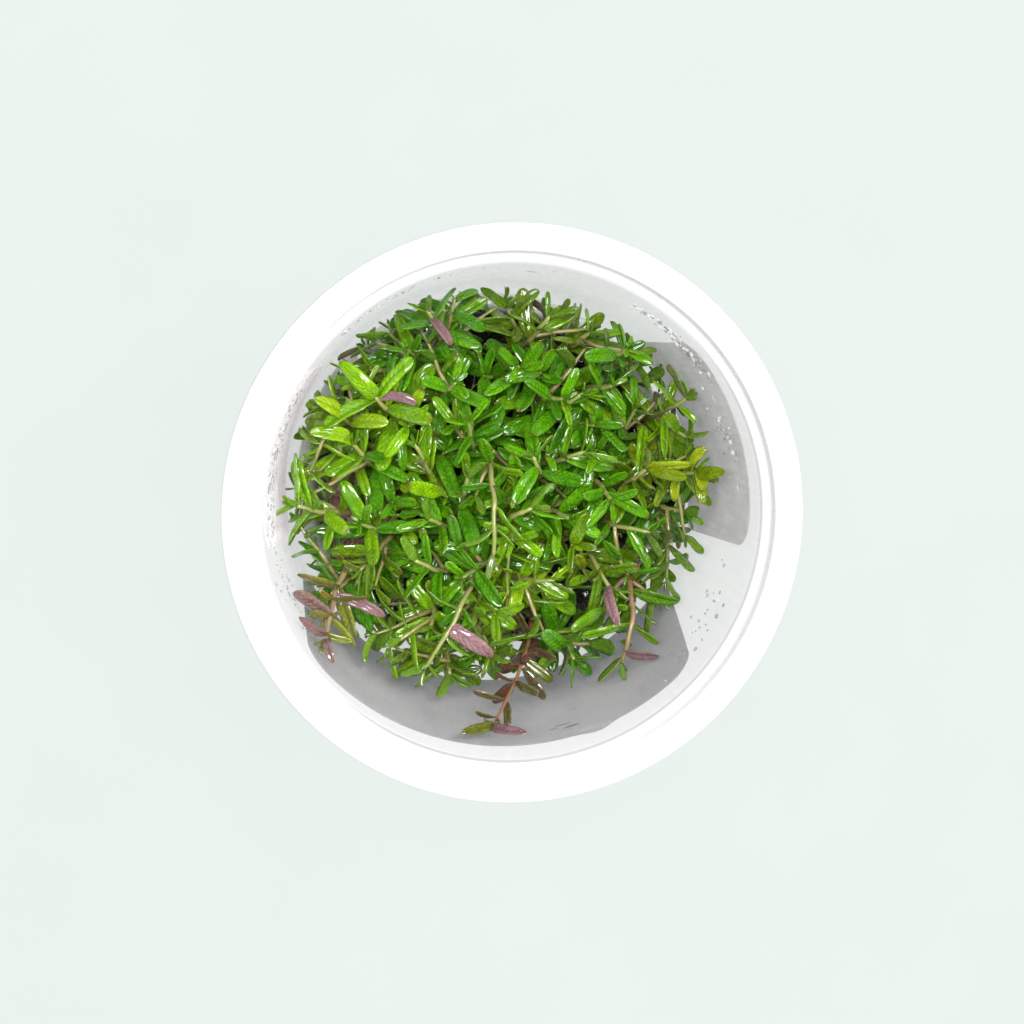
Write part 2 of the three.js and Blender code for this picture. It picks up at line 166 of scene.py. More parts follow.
# Growth that is finer than the solids: its room, and the places of the lower leaf pairs
FINE_SEED = 7300
FINE_CLEARANCE = 0.8
FINE_STEM_TO_LEAF = 0.85
GAP_CLEARANCE = 0.66
FINE_TRIES = 14
LOWER_PAIRS = (0.13, 0.2, 0.27, 0.34)
LEAF_THICKNESS = 0.42
LEAF_FULLNESS = 1.08
LEAF_BANK = 26
LEAF_TWIST = 34
SLENDERNESS = 3.0
BRANCH_THICKNESS = 0.62
RED_THICKNESS = 0.82
ROOT_DEPTH = 1.8

# Leaves that stand out by their place and tint: base, tip, width, tint (1 mauve, -1 yellow)
MARKED_LEAVES = [
    ((-9.6, -23, 37), (-1.6, -28.2, 38), 3.0, 1.0),
    ((-17.1, 21.2, 37.5), (-13.1, 18.8, 38.5), 1.9, 1.0),
    ((-10.7, 30.7, 35.5), (-8.9, 27.6, 37), 1.8, 1.0),
    ((17.1, -16.3, 36.5), (20, -22.7, 38), 2.3, 1.0),
    ((-25, -17.6, 37), (-19.2, -20.9, 37.5), 2.0, 1.0),
    ((-34.2, -16.9, 42), (-38.6, -13.6, 46), 2.5, 0.75),
    ((-33.5, -22, 43.8), (-36.9, -18.4, 46.6), 1.4, 0.85),
    ((-31.9, -23.8, 44.3), (-30.9, -27, 44.5), 1.6, 0.8),
    ((-31.4, -23.4, 43.8), (-27.2, -23.9, 44), 2.1, -0.6),
    ((24, -28.5, 36), (28.4, -28.2, 40), 1.8, 1.0),
    ((9.2, -33.2, 31), (11.8, -35.6, 31), 2.0, -1.0),
    ((-26.8, 16.6, 35), (-33, 19.2, 36.5), 3.1, -0.75),
    ((-27.2, 13, 34), (-34.8, 12.9, 35.5), 3.2, -0.9),
    ((-22, 18.4, 36), (-29.3, 25.5, 36.5), 3.1, 0.0),
    ((28.3, 6.3, 35), (34.3, 6.7, 36), 2.4, -0.9),
    ((29.6, 4.1, 35), (34, 4, 36), 2.2, -0.4),
    ((32, 3.3, 33), (32, -0.8, 33.5), 2.4, -1.0),
    ((36.4, 8, 34.5), (36.4, 2.6, 35), 2.4, -0.7),
    ((36.5, 2.4, 34), (36.4, -0.9, 34), 2.2, -0.6),
    ((33.6, 9.2, 35), (37.2, 10.9, 35.5), 2.1, -0.9),
    ((34.5, 5.2, 37), (39, 6, 42), 2.3, -0.35),
    ((-2.6, -39.2, 46.2), (-8.6, -39.4, 50.5), 1.7, -1.0),
    ((-2.4, -39.2, 46.2), (2.8, -39.0, 50.0), 1.7, 1.0),
]
MARKED_TRIES = 7
MARKED_CLEARANCE = 0.7

# Branches: the first of their marks that needs room, and how far they stay from other things
BRANCH_START = 5
BRANCH_TO_WALL = 1.5
BRANCH_TO_ROOF = 3.5
BRANCH_TO_STEM = 1.1
BRANCH_TO_LEAF = 0.8

# Side shoots: places on a stem where they start, tries for each, and places of their leaf pairs
SIDE_PLACES = (0.3, 0.42, 0.52, 0.64, 0.75)
SIDE_TRIES = 8
SIDE_PAIRS = (0.95, 0.68, 0.4)

# Branches that lean out to the edge: degrees between them, tries for each, lowest and highest tips,
# nearest and furthest stem, and places of their leaf pairs
EDGE_STEP = 7
EDGE_TRIES = 25
EDGE_HEIGHTS = ((25, 33), (13, 23))
EDGE_REACH = (6, 15)
EDGE_PAIRS = (0.96, 0.74, 0.52, 0.32)

# Leaves bent over gaps: the slant of the view from above that shows the gaps, the size and number
# of its cells, the heights tried, nearest and furthest stem, tries, steepest slope and most length
LOOK_SLANT = np.array([-0.101, 0.122])
GAP_CELL = 1.1
GAP_CELLS = 100
GAP_MARGIN = 12
GAP_HEIGHTS = (32, 28, 23, 18, 14)
GAP_REACH = (2.5, 11)
GAP_TRIES = 24
STEEPEST = 0.75
LONGEST_BENT = 12

# Ovals of that view where fine growth leaves the root mat and the gel's lump in sight
OPEN_VIEWS = ((-25.9, -5.5, 3.4, 6.0), (36.2, -2.6, 2.4, 2.6))


def inner_radius(z):
    share = (z - FLOOR_HEIGHT) / (MOUTH_HEIGHT - FLOOR_HEIGHT)
    return FLOOR_RADIUS + (MOUTH_RADIUS - FLOOR_RADIUS) * share


def make_dice(seed):
    """A repeatable stream of numbers between low and high, the same as the solids were grown with."""
    whole, stride = 0xFFFFFFFF, 0x6D2B79F5
    state = seed & whole

    def roll(low=0.0, high=1.0):
        nonlocal state
        state = (state + stride) & whole
        mixed = ((state ^ (state >> 15)) * (state | 1)) & whole
        mixed ^= (mixed + (((mixed ^ (mixed >> 7)) * (mixed | 61)) & whole)) & whole
        return low + ((high - low) * (mixed ^ (mixed >> 14))) / (whole + 1)

    return roll


def heap(lump, x, y):
    """Height of a round lump of gel at a place."""
    distance = np.hypot(x - lump["x"], y - lump["y"])
    return lump["rise"] * np.exp(-((distance / lump["spread"]) ** 2))


def gel_top(x, y):
    wave = np.sin(x * 0.21 + 0.8) * np.cos(y * 0.17) + 0.5 * np.sin(x * 0.4 - y * 0.33)
    return GEL_TOP + GEL_WAVE * wave + heap(GEL_LUMP, x, y)


def gel_reach(angle, z):
    """How far the gel reaches from the axis: to the wall, less the bite at the front."""
    middle = math.radians(GEL_BITE["angle"])
    off = np.arctan2(np.sin(angle - middle), np.cos(angle - middle))
    bite = GEL_BITE["depth"] * np.exp(-((off / math.radians(GEL_BITE["spread"])) ** 2))
    return inner_radius(z) * FLAT_OF_WALL - GAP - bite


def mat_out(x, y):
    """0 in the mat's middle, 1 at its edge."""
    return np.hypot((x - MAT["x"]) / MAT["half_x"], (y - MAT["y"]) / MAT["half_y"])


def mat_top(x, y):
    ripple = 0.35 * np.sin(x * 1.3 + y * 0.4) * np.sin(y * 1.1)
    dome = np.sqrt(np.maximum(0, 1 - mat_out(x, y) ** 2))
    return gel_top(x, y) + GAP + 0.7 + (MAT["rise"] + ripple) * dome


def ground(x, y):
    """Height of what a shoot stands on."""
    return np.where(mat_out(x, y) < 1, mat_top(x, y), gel_top(x, y))


def unit(vector):
    return vector / np.linalg.norm(vector)


def turned_about(vector, axis, angle):
    cosine, sine = math.cos(angle), math.sin(angle)
    return vector * cosine + np.cross(axis, vector) * sine + axis * np.dot(axis, vector) * (1 - cosine)


def bezier(controls, t):
    a, b, c = controls
    t = np.asarray(t, float)[..., None]
    return (1 - t) ** 2 * a + 2 * (1 - t) * t * b + t**2 * c


def units(rows):
    return rows / np.linalg.norm(rows, axis=1, keepdims=True)


def up_by(height):
    return np.array([0, 0, height])


def stacked(x, y, z):
    return np.stack([x, y, z], axis=-1)


def full_turn(count):
    return np.arange(count) * 2 * math.pi / count


def closest(points, others):
    return math.sqrt(((points[:, None] - others[None]) ** 2).sum(-1).min())


def pick(items, roll):
    return items[int(roll(0, len(items) - 0.001))]


class Stem:
    """A stem's curve, the directions across it, and the leaves that it carries."""

    MARKS = 23

    def __init__(self, controls, pairs, size, colour):
        a, b, c = self.controls = [np.array(point, float) for point in controls]
        self.across = unit(np.cross(b - a, c - b))
        self.marks = bezier(self.controls, np.linspace(0, 1, self.MARKS))
        self.length = float(np.linalg.norm(np.diff(self.marks, axis=0), axis=1).sum())
        self.pairs, self.size, self.colour = pairs, size, colour
        self.leaves, self.branches, self.own, self.twist = [], [], (self,), 0

    def point(self, t):
        return bezier(self.controls, t)

    def tangent(self, t):
        return unit(self.point(min(1, t + 0.0001)) - self.point(max(0, t - 0.0001)))

    def face(self, t, quarter):
        turn = math.radians(self.twist + 90 * quarter)
        side = np.cross(self.tangent(t), self.across)
        return self.across * math.cos(turn) + side * math.sin(turn)


class Leaf:
    """A leaf's middle line and width direction, with marks over its blade that show its room."""

    SHARES = np.array([0.16, 0.3, 0.42, 0.54, 0.66, 0.78, 0.9])
    SIDES = np.array([-0.38, 0, 0.38])
    MARKS = len(SHARES) * len(SIDES) + 1

    def __init__(self, controls, wide, width, age, tint=0):
        self.controls, self.wide, self.width, self.age, self.tint = controls, wide, width, age, tint
        across = self.SIDES[None, :, None] * width * wide
        body = bezier(controls, self.SHARES)[:, None, :] + across
        self.marks = np.vstack([body.reshape(-1, 3), controls[2][None]])
        self.centre = bezier(controls, 0.6)


class Tuft:
    """Everything placed so far, kept in arrays, so that a new leaf can be tried against it."""

    MOST_STEMS = 500
    MOST_LEAVES = 6000

    def __init__(self, stems):
        self.stems, self.windows, self.leaves = [], (), 0
        self.stem_marks = np.zeros((self.MOST_STEMS, Stem.MARKS, 3))
        self.leaf_marks = np.zeros((self.MOST_LEAVES, Leaf.MARKS, 3))
        self.centres = np.zeros((self.MOST_LEAVES, 3))
        for stem in stems:
            self.add_stem(stem)

    def add_stem(self, stem):
        stem.number = len(self.stems)
        self.stem_marks[stem.number] = stem.marks
        self.stems.append(stem)

    def in_window(self, points):
        seen = seen_place(points)
        return any(
            (np.hypot((seen[:, 0] - x) / half_x, (seen[:, 1] - y) / half_y) < 1).any()
            for x, y, half_x, half_y in self.windows
        )

    def fits(self, leaf, stem, leaf_gap, stem_gap, roof=None):
        """Whether a leaf of a stem stays in the cup, over the ground and clear of all but its own stem."""
        p = leaf.marks
        wall = inner_radius(p[:, 2]) * FLAT_OF_WALL - WALL_CLEARANCE
        if (np.hypot(p[:, 0], p[:, 1]) > wall).any() or (p[:, 2] > (roof or stem.roof)).any():
            return False
        if (p[:, 2] < ground(p[:, 0], p[:, 1]) + GROUND_CLEARANCE).any():
            return False
        if self.in_window(p):
            return False
        span = np.linalg.norm(p - leaf.centre, axis=1).max()
        marks = self.stem_marks[: len(self.stems)]
        close = np.abs(marks - leaf.centre).max(axis=-1) < span + stem_gap
        close[[one.number for one in stem.own]] = False
        near = marks[close]
        if len(near) and closest(p, near) < stem_gap:
            return False
        reach = LONGEST_LEAF + leaf_gap
        apart = np.linalg.norm(self.centres[: self.leaves] - leaf.centre, axis=1)
        near = self.leaf_marks[: self.leaves][apart < reach].reshape(-1, 3)
        near = near[np.abs(near - leaf.centre).max(axis=1) < span + leaf_gap]
        return not len(near) or closest(p, near) >= leaf_gap

    def add(self, leaf, stem):
        self.leaf_marks[self.leaves] = leaf.marks
        self.centres[self.leaves] = leaf.centre
        self.leaves += 1
        stem.leaves.append(leaf)


def rooted_stem(root, bend, tip, pairs, size, colour):
    x, y = root
    foot = (x, y, float(ground(x, y)) + GAP + STEM_WIDTH_AT_ROOT / 2)
    return Stem((foot, bend, tip), pairs, size, colour)


def draw_shoot(index, roll):
    """Where a shoot grows by chance: its tip on a sunflower spiral, its root further in."""
    turn = math.radians(index * GOLDEN_ANGLE + roll(-16, 16))
    out = (CANOPY_RADIUS - 1) * math.sqrt((index + 0.5) / GROWN_SHOOTS) + roll(-2, 2)
    lean = roll(4, 12)
    lean_turn = turn + math.radians(roll(-75, 75)) * (1.4 - out / CANOPY_RADIUS)
    tip_x, tip_y = out * math.cos(turn), out * math.sin(turn)
    tip_z = CANOPY_TOP - CANOPY_FALL * (out / CANOPY_RADIUS) ** 2 + roll(-3, 1.2)
    root_x, root_y = tip_x - lean * math.cos(lean_turn), tip_y - lean * math.sin(lean_turn)
    early = roll(0.05, 0.3)
    rise = roll(0.72, 1.02)
    low = float(ground(root_x, root_y))
    bend = (
        root_x + (tip_x - root_x) * early,
        root_y + (tip_y - root_y) * early,
        low + (tip_z - low) * rise,
    )
    pairs = math.floor(roll(4, 5.6))
    tone = roll(0, 1) + 0.45 * (out / CANOPY_RADIUS) ** 3
    colour = "olive" if tone > 1.05 else "lime" if tone > 0.86 else "green"
    return rooted_stem((root_x, root_y), bend, (tip_x, tip_y, tip_z), pairs, roll(0.85, 1.1), colour)


def stem_fits(stem, stems):
    """A shoot stands on the gel or well inside the mat, within the wall and clear of the others."""
    x, y, z = stem.marks[0]
    on_gel = math.hypot(x, y) < gel_reach(math.atan2(y, x), z) - ROOT_TO_EDGE
    level = z < GEL_TOP + MAT["rise"] + 2 and abs(mat_out(x, y) - 0.95) > 0.22
    rest = stem.marks[1:]
    in_cup = np.hypot(rest[:, 0], rest[:, 1]) < inner_radius(rest[:, 2]) - STEM_TO_WALL
    clear = (rest[:, 2] < z + 3) | (rest[:, 2] > ground(rest[:, 0], rest[:, 1]) + STEM_TO_GROUND)
    if not (on_gel and level and in_cup.all() and clear.all()):
        return False
    return all(closest(stem.marks, other.marks) > STEM_CLEARANCE for other in stems)


def make_stems():
    stems = [rooted_stem(*marked) for marked in MARKED_SHOOTS]
    for index in range(GROWN_SHOOTS):
        roll = make_dice(SHOOT_SEED + index)
        for _ in range(PLACE_TRIES):
            stem = draw_shoot(index, roll)
            if stem_fits(stem, stems):
                stems.append(stem)
                break
    for index, stem in enumerate(stems):
        stem.roll = make_dice(2 * SHOOT_SEED + index)
        stem.twist = stem.roll(0, 90)
        stem.roof = max(TALLEST_LEAF, stem.controls[2][2] + 3)
    return stems


def stem_width(t):
    return STEM_WIDTH_AT_ROOT + (STEM_WIDTH_AT_TIP - STEM_WIDTH_AT_ROOT) * t


def pair_place(stem, pair):
    return FIRST_PAIR + ((LAST_PAIR - FIRST_PAIR) * pair) / (stem.pairs - 1)


def fullness(length):
    """A short leaf is narrower and thinner than a grown one."""
    return 0.55 + 0.45 * min(1, length / LEAF_LENGTH)


def draw_leaf(stem, pair, quarter, shrink):
    """Young leaves near the tip are shorter and steeper."""
    t, roll = pair_place(stem, pair), stem.roll
    young = pair / (stem.pairs - 1)
    along = stem.tangent(t)
    out = turned_about(stem.face(t, quarter), along, math.radians(roll(-24, 24)))
    lift = math.radians(12 + 34 * young**2 + roll(-14, 20))
    droop = math.radians(roll(-6, 34) - 10 * young)
    length = stem.size * LEAF_LENGTH * (1.08 - 0.45 * young**3) * roll(0.85, 1.12) * shrink
    start = stem.point(t) + out * stem_width(t) * 0.5
    width = LEAF_WIDTH * fullness(length) * roll(0.9, 1.15)
    return bent_leaf(start, out, along, lift, droop, length, width, 1 - young)


def bent_leaf(start, out, along, lift, droop, length, width, age):
    wide = unit(np.cross(along, out))
    first = out * math.cos(lift) + along * math.sin(lift)
    middle = start + first * length / 2
    end = middle + turned_about(first, wide, droop) * length / 2
    return Leaf((start, middle, end), wide, width, age)


def try_leaf(tuft, stem, make, tries, shorter, leaf_gap, stem_gap):
    """Adds the first leaf of a few tries that has room, each a little shorter."""
    for turn in range(tries):
        leaf = make(1 - shorter * turn)
        if tuft.fits(leaf, stem, leaf_gap, stem_gap):
            tuft.add(leaf, stem)
            break


def grow_leaves(tuft, stems):
    """Leaves unfold from the tips downwards, each one drawn again until it is clear of the others."""
    for from_tip in range(max(stem.pairs for stem in stems)):
        for stem in stems:
            pair = stem.pairs - 1 - from_tip
            if pair < 0:
                continue
            for quarter in (pair % 2, pair % 2 + 2):
                def make(shrink):
                    return draw_leaf(stem, pair, quarter, shrink)
                try_leaf(tuft, stem, make, LEAF_TRIES, 0.018, LEAF_CLEARANCE, STEM_TO_LEAF)


def grow_marked_leaves(tuft):
    """The leaves that stand out, each moved towards the nearest stem and raised until it has room."""
    for base, tip, width, tint in MARKED_LEAVES:
        base, tip = np.array(base, float), np.array(tip, float)
        marks = tuft.stem_marks[: len(tuft.stems), 8:]
        number, step = divmod(int(np.linalg.norm(marks - base, axis=-1).argmin()), marks.shape[1])
        stem = tuft.stems[number]
        start = marks[number, step]
        gap = np.linalg.norm(start - base)
        move = (start - base) * max(0, 1 - 2 / gap) * 0.6
        base, tip = base + move, tip + move
        wide = unit(np.cross(up_by(1), tip - base))
        for turn in range(MARKED_TRIES):
            rise = up_by(0.6 * turn)
            leaf = Leaf((start, base + rise, tip + rise), wide, width, 0.8, tint)
            if tuft.fits(leaf, stem, MARKED_CLEARANCE, MARKED_CLEARANCE, CUP_HEIGHT):
                break
        tuft.add(leaf, stem)


def seen_place(points):
    """Where points lie in the view from above, as the camera leans, at the height of the leaf tops."""
    return points[..., :2] + LOOK_SLANT * (CANOPY_TOP - points[..., 2:3])


def bend_over(start, target, roll):
    """A leaf from a stem that reaches past a target, or None where it would stand too steep."""
    length = min(LONGEST_BENT, float(np.linalg.norm(start - target, axis=-1)) * roll(1.2, 1.6) + 1.5)
    heading = unit(target - start)
    if abs(heading[2]) > STEEPEST:
        return None
    foot = start + heading * 0.3
    middle = foot + heading * length * 0.5 + up_by(length * roll(-0.02, 0.14))
    wide = turned_about(unit(np.cross(up_by(1), heading)), heading, math.radians(roll(-35, 35)))
    width = LEAF_WIDTH * (0.45 + 0.55 * min(1, length / LEAF_LENGTH)) * roll(0.9, 1.15)
    return Leaf((foot, middle, foot + heading * length), wide, width, roll(0.3, 1))


def grow_into_gaps(tuft):
    """Looks from above for places where the gel would show, and bends a leaf over each of them."""
    roll = make_dice(FINE_SEED + 20)
    covered = np.zeros((GAP_CELLS, GAP_CELLS), bool)

    def cover(marks):
        cells = np.floor(seen_place(marks) / GAP_CELL).astype(int) + GAP_CELLS // 2
        row, column = cells.reshape(-1, 2).T
        for step_x, step_y in ((0, 0), (1, 0), (-1, 0), (0, 1), (0, -1)):
            covered[row + step_x, column + step_y] = True

    def bend_leaf_over(target):
        apart = np.linalg.norm(marks - target, axis=-1)
        near = np.argwhere((apart > GAP_REACH[0]) & (apart < GAP_REACH[1]))
        for _ in range(min(GAP_TRIES, len(near))):
            number, step = pick(near, roll)
            stem = tuft.stems[number]
            leaf = bend_over(marks[number, step], target, roll)
            if leaf and tuft.fits(leaf, stem, GAP_CLEARANCE, GAP_CLEARANCE):
                tuft.add(leaf, stem)
                cover(leaf.marks)
                break

    cover(tuft.leaf_marks[: tuft.leaves])
    marks = tuft.stem_marks[: len(tuft.stems), BRANCH_START:]
    inner = range(GAP_MARGIN, GAP_CELLS - GAP_MARGIN)
    for x, y in sorted(product(inner, inner), key=lambda cell: roll()):
        seen = (np.array([x, y]) - (GAP_CELLS - 1) / 2) * GAP_CELL
        for height in GAP_HEIGHTS:
            place = seen - LOOK_SLANT * (CANOPY_TOP - height)
            edge = gel_reach(math.atan2(place[1], place[0]), height) - 1.6
            if not covered[x, y] and np.hypot(*place) <= edge:
                bend_leaf_over(np.array([*place, height + roll(-1.5, 1.5)]))


def fine_leaf(stem, t, quarter, length, lift_range, age, flip=False):
    """A leaf beyond the solids' own, from any place on a stem or side shoot."""
    along, roll = stem.tangent(t), stem.roll
    out = turned_about(stem.face(t, quarter), along, math.radians(roll(-35, 35)))
    lift = math.radians(roll(*lift_range))
    droop = math.radians(roll(-10, 40))
    start = stem.point(t) + out * stem_width(t) * 0.45
    width = LEAF_WIDTH * fullness(length) * roll(0.85, 1.1)
    leaf = bent_leaf(start, out, along, lift, droop, length, width, age)
    if flip:
        leaf.wide = -leaf.wide
    return leaf


def try_fine_leaf(tuft, stem, make):
    try_leaf(tuft, stem, make, FINE_TRIES, 0.035, FINE_CLEARANCE, FINE_STEM_TO_LEAF)


def grow_lower_leaves(tuft, stems):
    for stem in stems:
        for step, t in enumerate(LOWER_PAIRS):
            for quarter in (step % 2, step % 2 + 2):
                def make(shrink):
                    length = stem.size * LEAF_LENGTH * stem.roll(0.7, 1.0) * shrink
                    return fine_leaf(stem, t, quarter, length, (0, 40), 1.0)
                try_fine_leaf(tuft, stem, make)


def grow_axil_leaves(tuft, stems):
    """Small leaves of the buds that wait in the other two directions of a pair."""
    for stem in stems:
        small = 0.55 if stem.colour in RUDDY else 1
        for pair in range(stem.pairs):
            for quarter in (pair % 2 + 1, pair % 2 + 3):
                def make(shrink):
                    length = LEAF_LENGTH * stem.roll(0.6, 1.0) * small * shrink
                    flip = stem.roll() < 0.08
                    t = pair_place(stem, pair) + stem.roll(-0.01, 0.01)
                    return fine_leaf(stem, t, quarter, length, (15, 65), 1 - pair / stem.pairs, flip)
                if stem.roll() < 0.85:
                    try_fine_leaf(tuft, stem, make)


def branch_has_room(tuft, branch, roof):
    """Whether a branch stays in the cup, over the ground and clear of stems and leaves."""
    rest = branch.marks[BRANCH_START:]
    wall = inner_radius(rest[:, 2]) - BRANCH_TO_WALL
    if (np.hypot(rest[:, 0], rest[:, 1]) > wall).any() or rest[-1, 2] > roof - BRANCH_TO_ROOF:
        return False
    if (rest[:, 2] < ground(rest[:, 0], rest[:, 1]) + STEM_TO_GROUND).any():
        return False
    if tuft.in_window(rest):
        return False
    middle, span = rest.mean(axis=0), np.ptp(rest, axis=0).max() + 1.3
    others = tuft.stem_marks[: len(tuft.stems)].reshape(-1, 3)
    others = others[np.abs(others - middle).max(axis=1) < span]
    placed = tuft.leaf_marks[: tuft.leaves].reshape(-1, 3)
    placed = placed[np.abs(placed - middle).max(axis=1) < span]
    if len(others) and closest(rest, others) < BRANCH_TO_STEM:
        return False
    return not len(placed) or closest(rest, placed) > BRANCH_TO_LEAF


def grow_branch(tuft, stem, branch, places):
    """Adds a branch to its stem, with a pair of leaves at each place."""
    branch.roll, branch.twist, branch.roof = stem.roll, stem.roll(0, 90), stem.roof
    branch.own = (branch, stem)
    tuft.add_stem(branch)
    stem.branches.append(branch)
    for step, place in enumerate(places):
        for quarter in (step % 2, step % 2 + 2):
            def make(shrink):
                length = LEAF_LENGTH * stem.roll(0.75, 1.1) * (1 - 0.2 * (step == 0)) * shrink
                lift = (20, 60) if step == 0 else (0, 45)
                return fine_leaf(branch, place, quarter, length, lift, 0.3 + 0.25 * step)
            try_fine_leaf(tuft, branch, make)


def draw_side_shoot(stem, t):
    along, roll = stem.tangent(t), stem.roll
    out = turned_about(stem.face(t, roll(0, 4)), along, math.radians(roll(-30, 30)))
    start = stem.point(t) + out * stem_width(t) * 0.3
    length = roll(7, 14)
    up = unit(along + up_by(0.6))
    bend = start + out * length * roll(0.3, 0.5) + up * length * 0.1
    tip = bend + out * length * roll(0.0, 0.35) + up * length * roll(0.45, 0.8)
    return Stem((start, bend, tip), 3, 0.6, stem.colour)


def grow_side_shoots(tuft, stems, wanted):
    """Short branches from the lower and middle pairs, each with a few small leaf pairs."""
    for stem in stems:
        for t in SIDE_PLACES:
            if len(stem.branches) >= wanted:
                break
            for _ in range(SIDE_TRIES):
                branch = draw_side_shoot(stem, t)
                if branch_has_room(tuft, branch, stem.roof):
                    grow_branch(tuft, stem, branch, SIDE_PAIRS)
                    break


def grow_edge_shoots(tuft, stems):
    """Branches that lean out over the rim of the gel, one for each few degrees round the cup."""
    roll = make_dice(FINE_SEED + 10)
    marks = np.array([stem.marks[7:20] for stem in stems])
    for (low, high), turn in product(EDGE_HEIGHTS, range(0, 360, EDGE_STEP)):
        for _ in range(EDGE_TRIES):
            angle = math.radians(turn + roll(-5, 5))
            height = roll(low, high)
            out = gel_reach(angle, height) - roll(2.2, 5)
            tip = np.array([out * math.cos(angle), out * math.sin(angle), height])
            apart = np.linalg.norm(marks - tip, axis=-1)
            below = marks[..., 2] < height + 1
            near = np.argwhere((apart > EDGE_REACH[0]) & (apart < EDGE_REACH[1]) & below)
            if not len(near):
                continue
            number, step = pick(near, roll)
            stem, start = stems[number], marks[number, step]
            bend = start + (tip - start) * 0.45 + up_by(roll(1, 4))
            branch = Stem((start, bend, tip), 4, 0.6, stem.colour)
            if branch_has_room(tuft, branch, stem.roof):
                grow_branch(tuft, stem, branch, EDGE_PAIRS)
                break


def grow_buds(stems):
    """Tiny upright leaves that close a tip. They stand in the room of the tip's own pair."""
    for stem in stems:
        for shoot in [stem, *stem.branches]:
            shoot.bud = []
            for step in range(4 if shoot is stem else 2):
                length = shoot.size * (3.6 - 0.55 * step) * stem.roll(0.85, 1.15)
                lift = (38 + 11 * step, 50 + 11 * step)
                quarter = shoot.pairs + step + 0.5 * (step // 2)
                leaf = fine_leaf(shoot, 0.995, quarter, length, lift, 0.0)
                leaf.width *= 0.72
                shoot.bud.append(leaf)


class Skin:
    """Collects the closed bodies of one piece, with a place and a kind for every corner."""

    def __init__(self):
        self.corners, self.faces, self.places, self.kinds, self.slots = [], [], [], [], []
        self.count = 0

    def add(self, corners, faces, place=(0, 0, 0), kind=(0, 0, 0), slot=0):
        """Adds a body. The slot is its material's number, or a list of one for each face."""
        corners = np.asarray(corners, float)
        self.corners.append(corners)
        self.places.append(np.broadcast_to(place, corners.shape))
        self.kinds.append(np.broadcast_to(kind, corners.shape))
        self.faces += [tuple(int(i) + self.count for i in face) for face in faces]
        self.slots += slot if isinstance(slot, list) else [slot] * len(faces)
        self.count += len(corners)

    def to_object(self, name, materials):
        mesh = bpy.data.meshes.new(name)
        mesh.from_pydata((np.vstack(self.corners) * MM).tolist(), [], self.faces)
        for label, values in (("place", self.places), ("kind", self.kinds)):
            layer = mesh.attributes.new(label, "FLOAT_VECTOR", "POINT")
            layer.data.foreach_set("vector", np.vstack(values).astype(np.float32).ravel())
        for material in materials:
            mesh.materials.append(material)
        mesh.polygons.foreach_set("material_index", self.slots)
        mesh.polygons.foreach_set("use_smooth", [True] * len(mesh.polygons))
        mesh.update()
        piece = bpy.data.objects.new(name, mesh)
        bpy.context.scene.collection.objects.link(piece)
        return piece


def ring_faces(rings, around, first_cap=True, last_cap=True):
    """Quads between rings that follow each other, with a cap at each end."""
    faces = []
    for ring in range(rings - 1):
        for i in range(around):
            a, b = ring * around + i, ring * around + (i + 1) % around
            faces.append((a, b, b + around, a + around))
    if first_cap:
        faces.append(tuple(reversed(range(around))))
    if last_cap:
        faces.append(tuple(range((rings - 1) * around, rings * around)))
    return faces


def fan(ring, around, tip):
    """Triangles between a tip and the ring of corners that starts at a number."""
    return [(ring + i, ring + (i + 1) % around, tip) for i in range(around)]


def flipped(faces):
    return [face[::-1] for face in faces]


LEAF_STATIONS = 11
TOP_SIDES = np.array([-1, -0.86, -0.54, -0.2, 0, 0.2, 0.54, 0.86])
UNDER_SIDES = np.array([1, 0.6, 0, -0.6])


